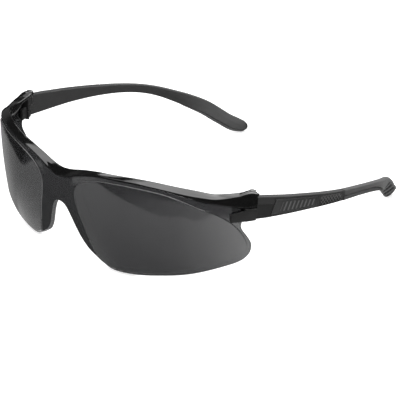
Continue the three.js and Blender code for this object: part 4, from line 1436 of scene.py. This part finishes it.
def build_world():
    """A white room for plain light, and for mirror-like surfaces a soft table glow below."""
    world = bpy.data.worlds.new("studio")
    bpy.context.scene.world = world
    world.use_nodes = True
    t = Tree(world.node_tree)
    direction = t.node("ShaderNodeTexCoord").outputs["Generated"]
    x, y, z = t.node("ShaderNodeSeparateXYZ", {0: direction}).outputs
    azimuth = t.math("DIVIDE", t.add(t.math("ARCTAN2", y, x), math.pi), 2 * math.pi)
    # table glow below a soft horizon, brightest to the wearer's left
    glow = t.mul(azimuth_curve(t, azimuth, TABLE_GLOW, GLOW_SCALE), GLOW_GAIN)
    fade = t.ramp(z, span=(-0.76, -0.42), to=(0.50, 1.34), kind="LINEAR")
    deep = t.mul(azimuth_curve(t, azimuth, DEEP_GLOW, GLOW_SCALE), GLOW_GAIN)
    deep_fade = t.ramp(z, span=(-0.73, -0.48), to=(2.5, 0.0), kind="LINEAR")
    table = t.add(t.mul(glow, fade), t.mul(deep, deep_fade))
    horizon = t.mul(azimuth_curve(t, azimuth, HORIZON_DROP, kind="CARDINAL"), -1.0)
    softness = 0.007
    below = t.ramp(z, span=(t.add(horizon, softness), t.sub(horizon, softness)))
    band = t.mul(t.mul(azimuth_curve(t, azimuth, BAND_GLOW), t.ramp(z, span=(-0.424, -0.442))),
                 t.sub(1.0, below))
    room = t.add(t.mul(table, below), band)
    # a faint wall round the level, over a trace of light everywhere
    wall = t.mul(t.ramp(z, span=(-0.16, -0.04)), t.ramp(z, span=(0.34, 0.16)))
    room = t.add(room, t.add(t.mul(wall, 0.10), 0.02))
    plain_light = 1.22
    glossy_ray = t.node("ShaderNodeLightPath").outputs["Is Glossy Ray"]
    strength = t.node("ShaderNodeMix", {"Factor": glossy_ray, 2: plain_light, 3: room},
                      data_type="FLOAT").outputs[0]
    background = t.node("ShaderNodeBackground", {"Color": grey(1), "Strength": strength})
    t.node("ShaderNodeOutputWorld", {"Surface": background.outputs[0]})


# (x, y) corners, in the hinge frame
SOFTBOX_OUTLINE = [(-400, 222), (-176, 119), (-157, 104), (-157, -85), (170, -85), (170, 430),
                   (-400, 430)]
SOFTBOX_Z = 200.0


def build_softbox():
    """A long softbox overhead, cut to a slanted edge. Only mirror-like surfaces see it."""
    mesh = bpy.data.meshes.new("softbox")
    corners = [tuple(to_row((x, y, SOFTBOX_Z))) for x, y in SOFTBOX_OUTLINE]
    mesh.from_pydata(corners, [], [tuple(range(len(corners)))])
    mesh.update()
    mesh.materials.append(softbox_material())
    ob = link_object("softbox", mesh)
    for ray in ("camera", "diffuse", "transmission", "shadow", "volume_scatter"):
        setattr(ob, "visible_" + ray, False)


def area_light(name, location, target, size, power):
    light = bpy.data.lights.new(name, "AREA")
    light.shape, light.size, light.energy = "DISK", size, power
    ob = link_object(name, light)
    ob.location = location
    aim = Vector(target) - Vector(location)
    ob.rotation_euler = aim.to_track_quat("-Z", "Y").to_euler()
    ob.visible_glossy = False


build_floor()
build_world()
build_softbox()
area_light("key", location=(0.75, -0.35, 1.25), target=(0.02, 0, 0.02), size=1.2, power=2.0)
area_light("fill", location=(-0.9, -0.7, 0.9), target=(0, 0, 0.02), size=1.4, power=1.0)

# ---------------------------------------------------------------- camera (metres)
CAMERA_AZIMUTH = 48.6 * DEGREE      # swing towards the wearer's left, from straight ahead
CAMERA_ELEVATION = 24.2 * DEGREE
CAMERA_ROLL = -0.35 * DEGREE
CAMERA_TARGET = Vector((0.0366, -0.02892, 0.02375))
CAMERA_DISTANCE = 1.2


def build_camera():
    cos_az, sin_az = math.cos(CAMERA_AZIMUTH), math.sin(CAMERA_AZIMUTH)
    cos_el, sin_el = math.cos(CAMERA_ELEVATION), math.sin(CAMERA_ELEVATION)
    cos_roll, sin_roll = math.cos(CAMERA_ROLL), math.sin(CAMERA_ROLL)
    level = Vector((cos_az, sin_az, 0))
    upright = Vector((-sin_az * sin_el, cos_az * sin_el, cos_el))
    back = Vector((sin_az * cos_el, -cos_az * cos_el, sin_el))
    right = cos_roll * level + sin_roll * upright
    up = -sin_roll * level + cos_roll * upright
    data = bpy.data.cameras.new("camera")
    data.sensor_width = 36.0
    data.lens = 284.04
    data.clip_start, data.clip_end = 0.05, 50.0
    ob = link_object("camera", data)
    ob.matrix_world = Matrix((right, up, back)).transposed().to_4x4()
    ob.location = CAMERA_TARGET + back * CAMERA_DISTANCE
    bpy.context.scene.camera = ob


build_camera()

bpy.context.scene.view_settings.view_transform = "Standard"
bpy.context.scene.view_settings.look = "None"

bpy.context.view_layer.update()
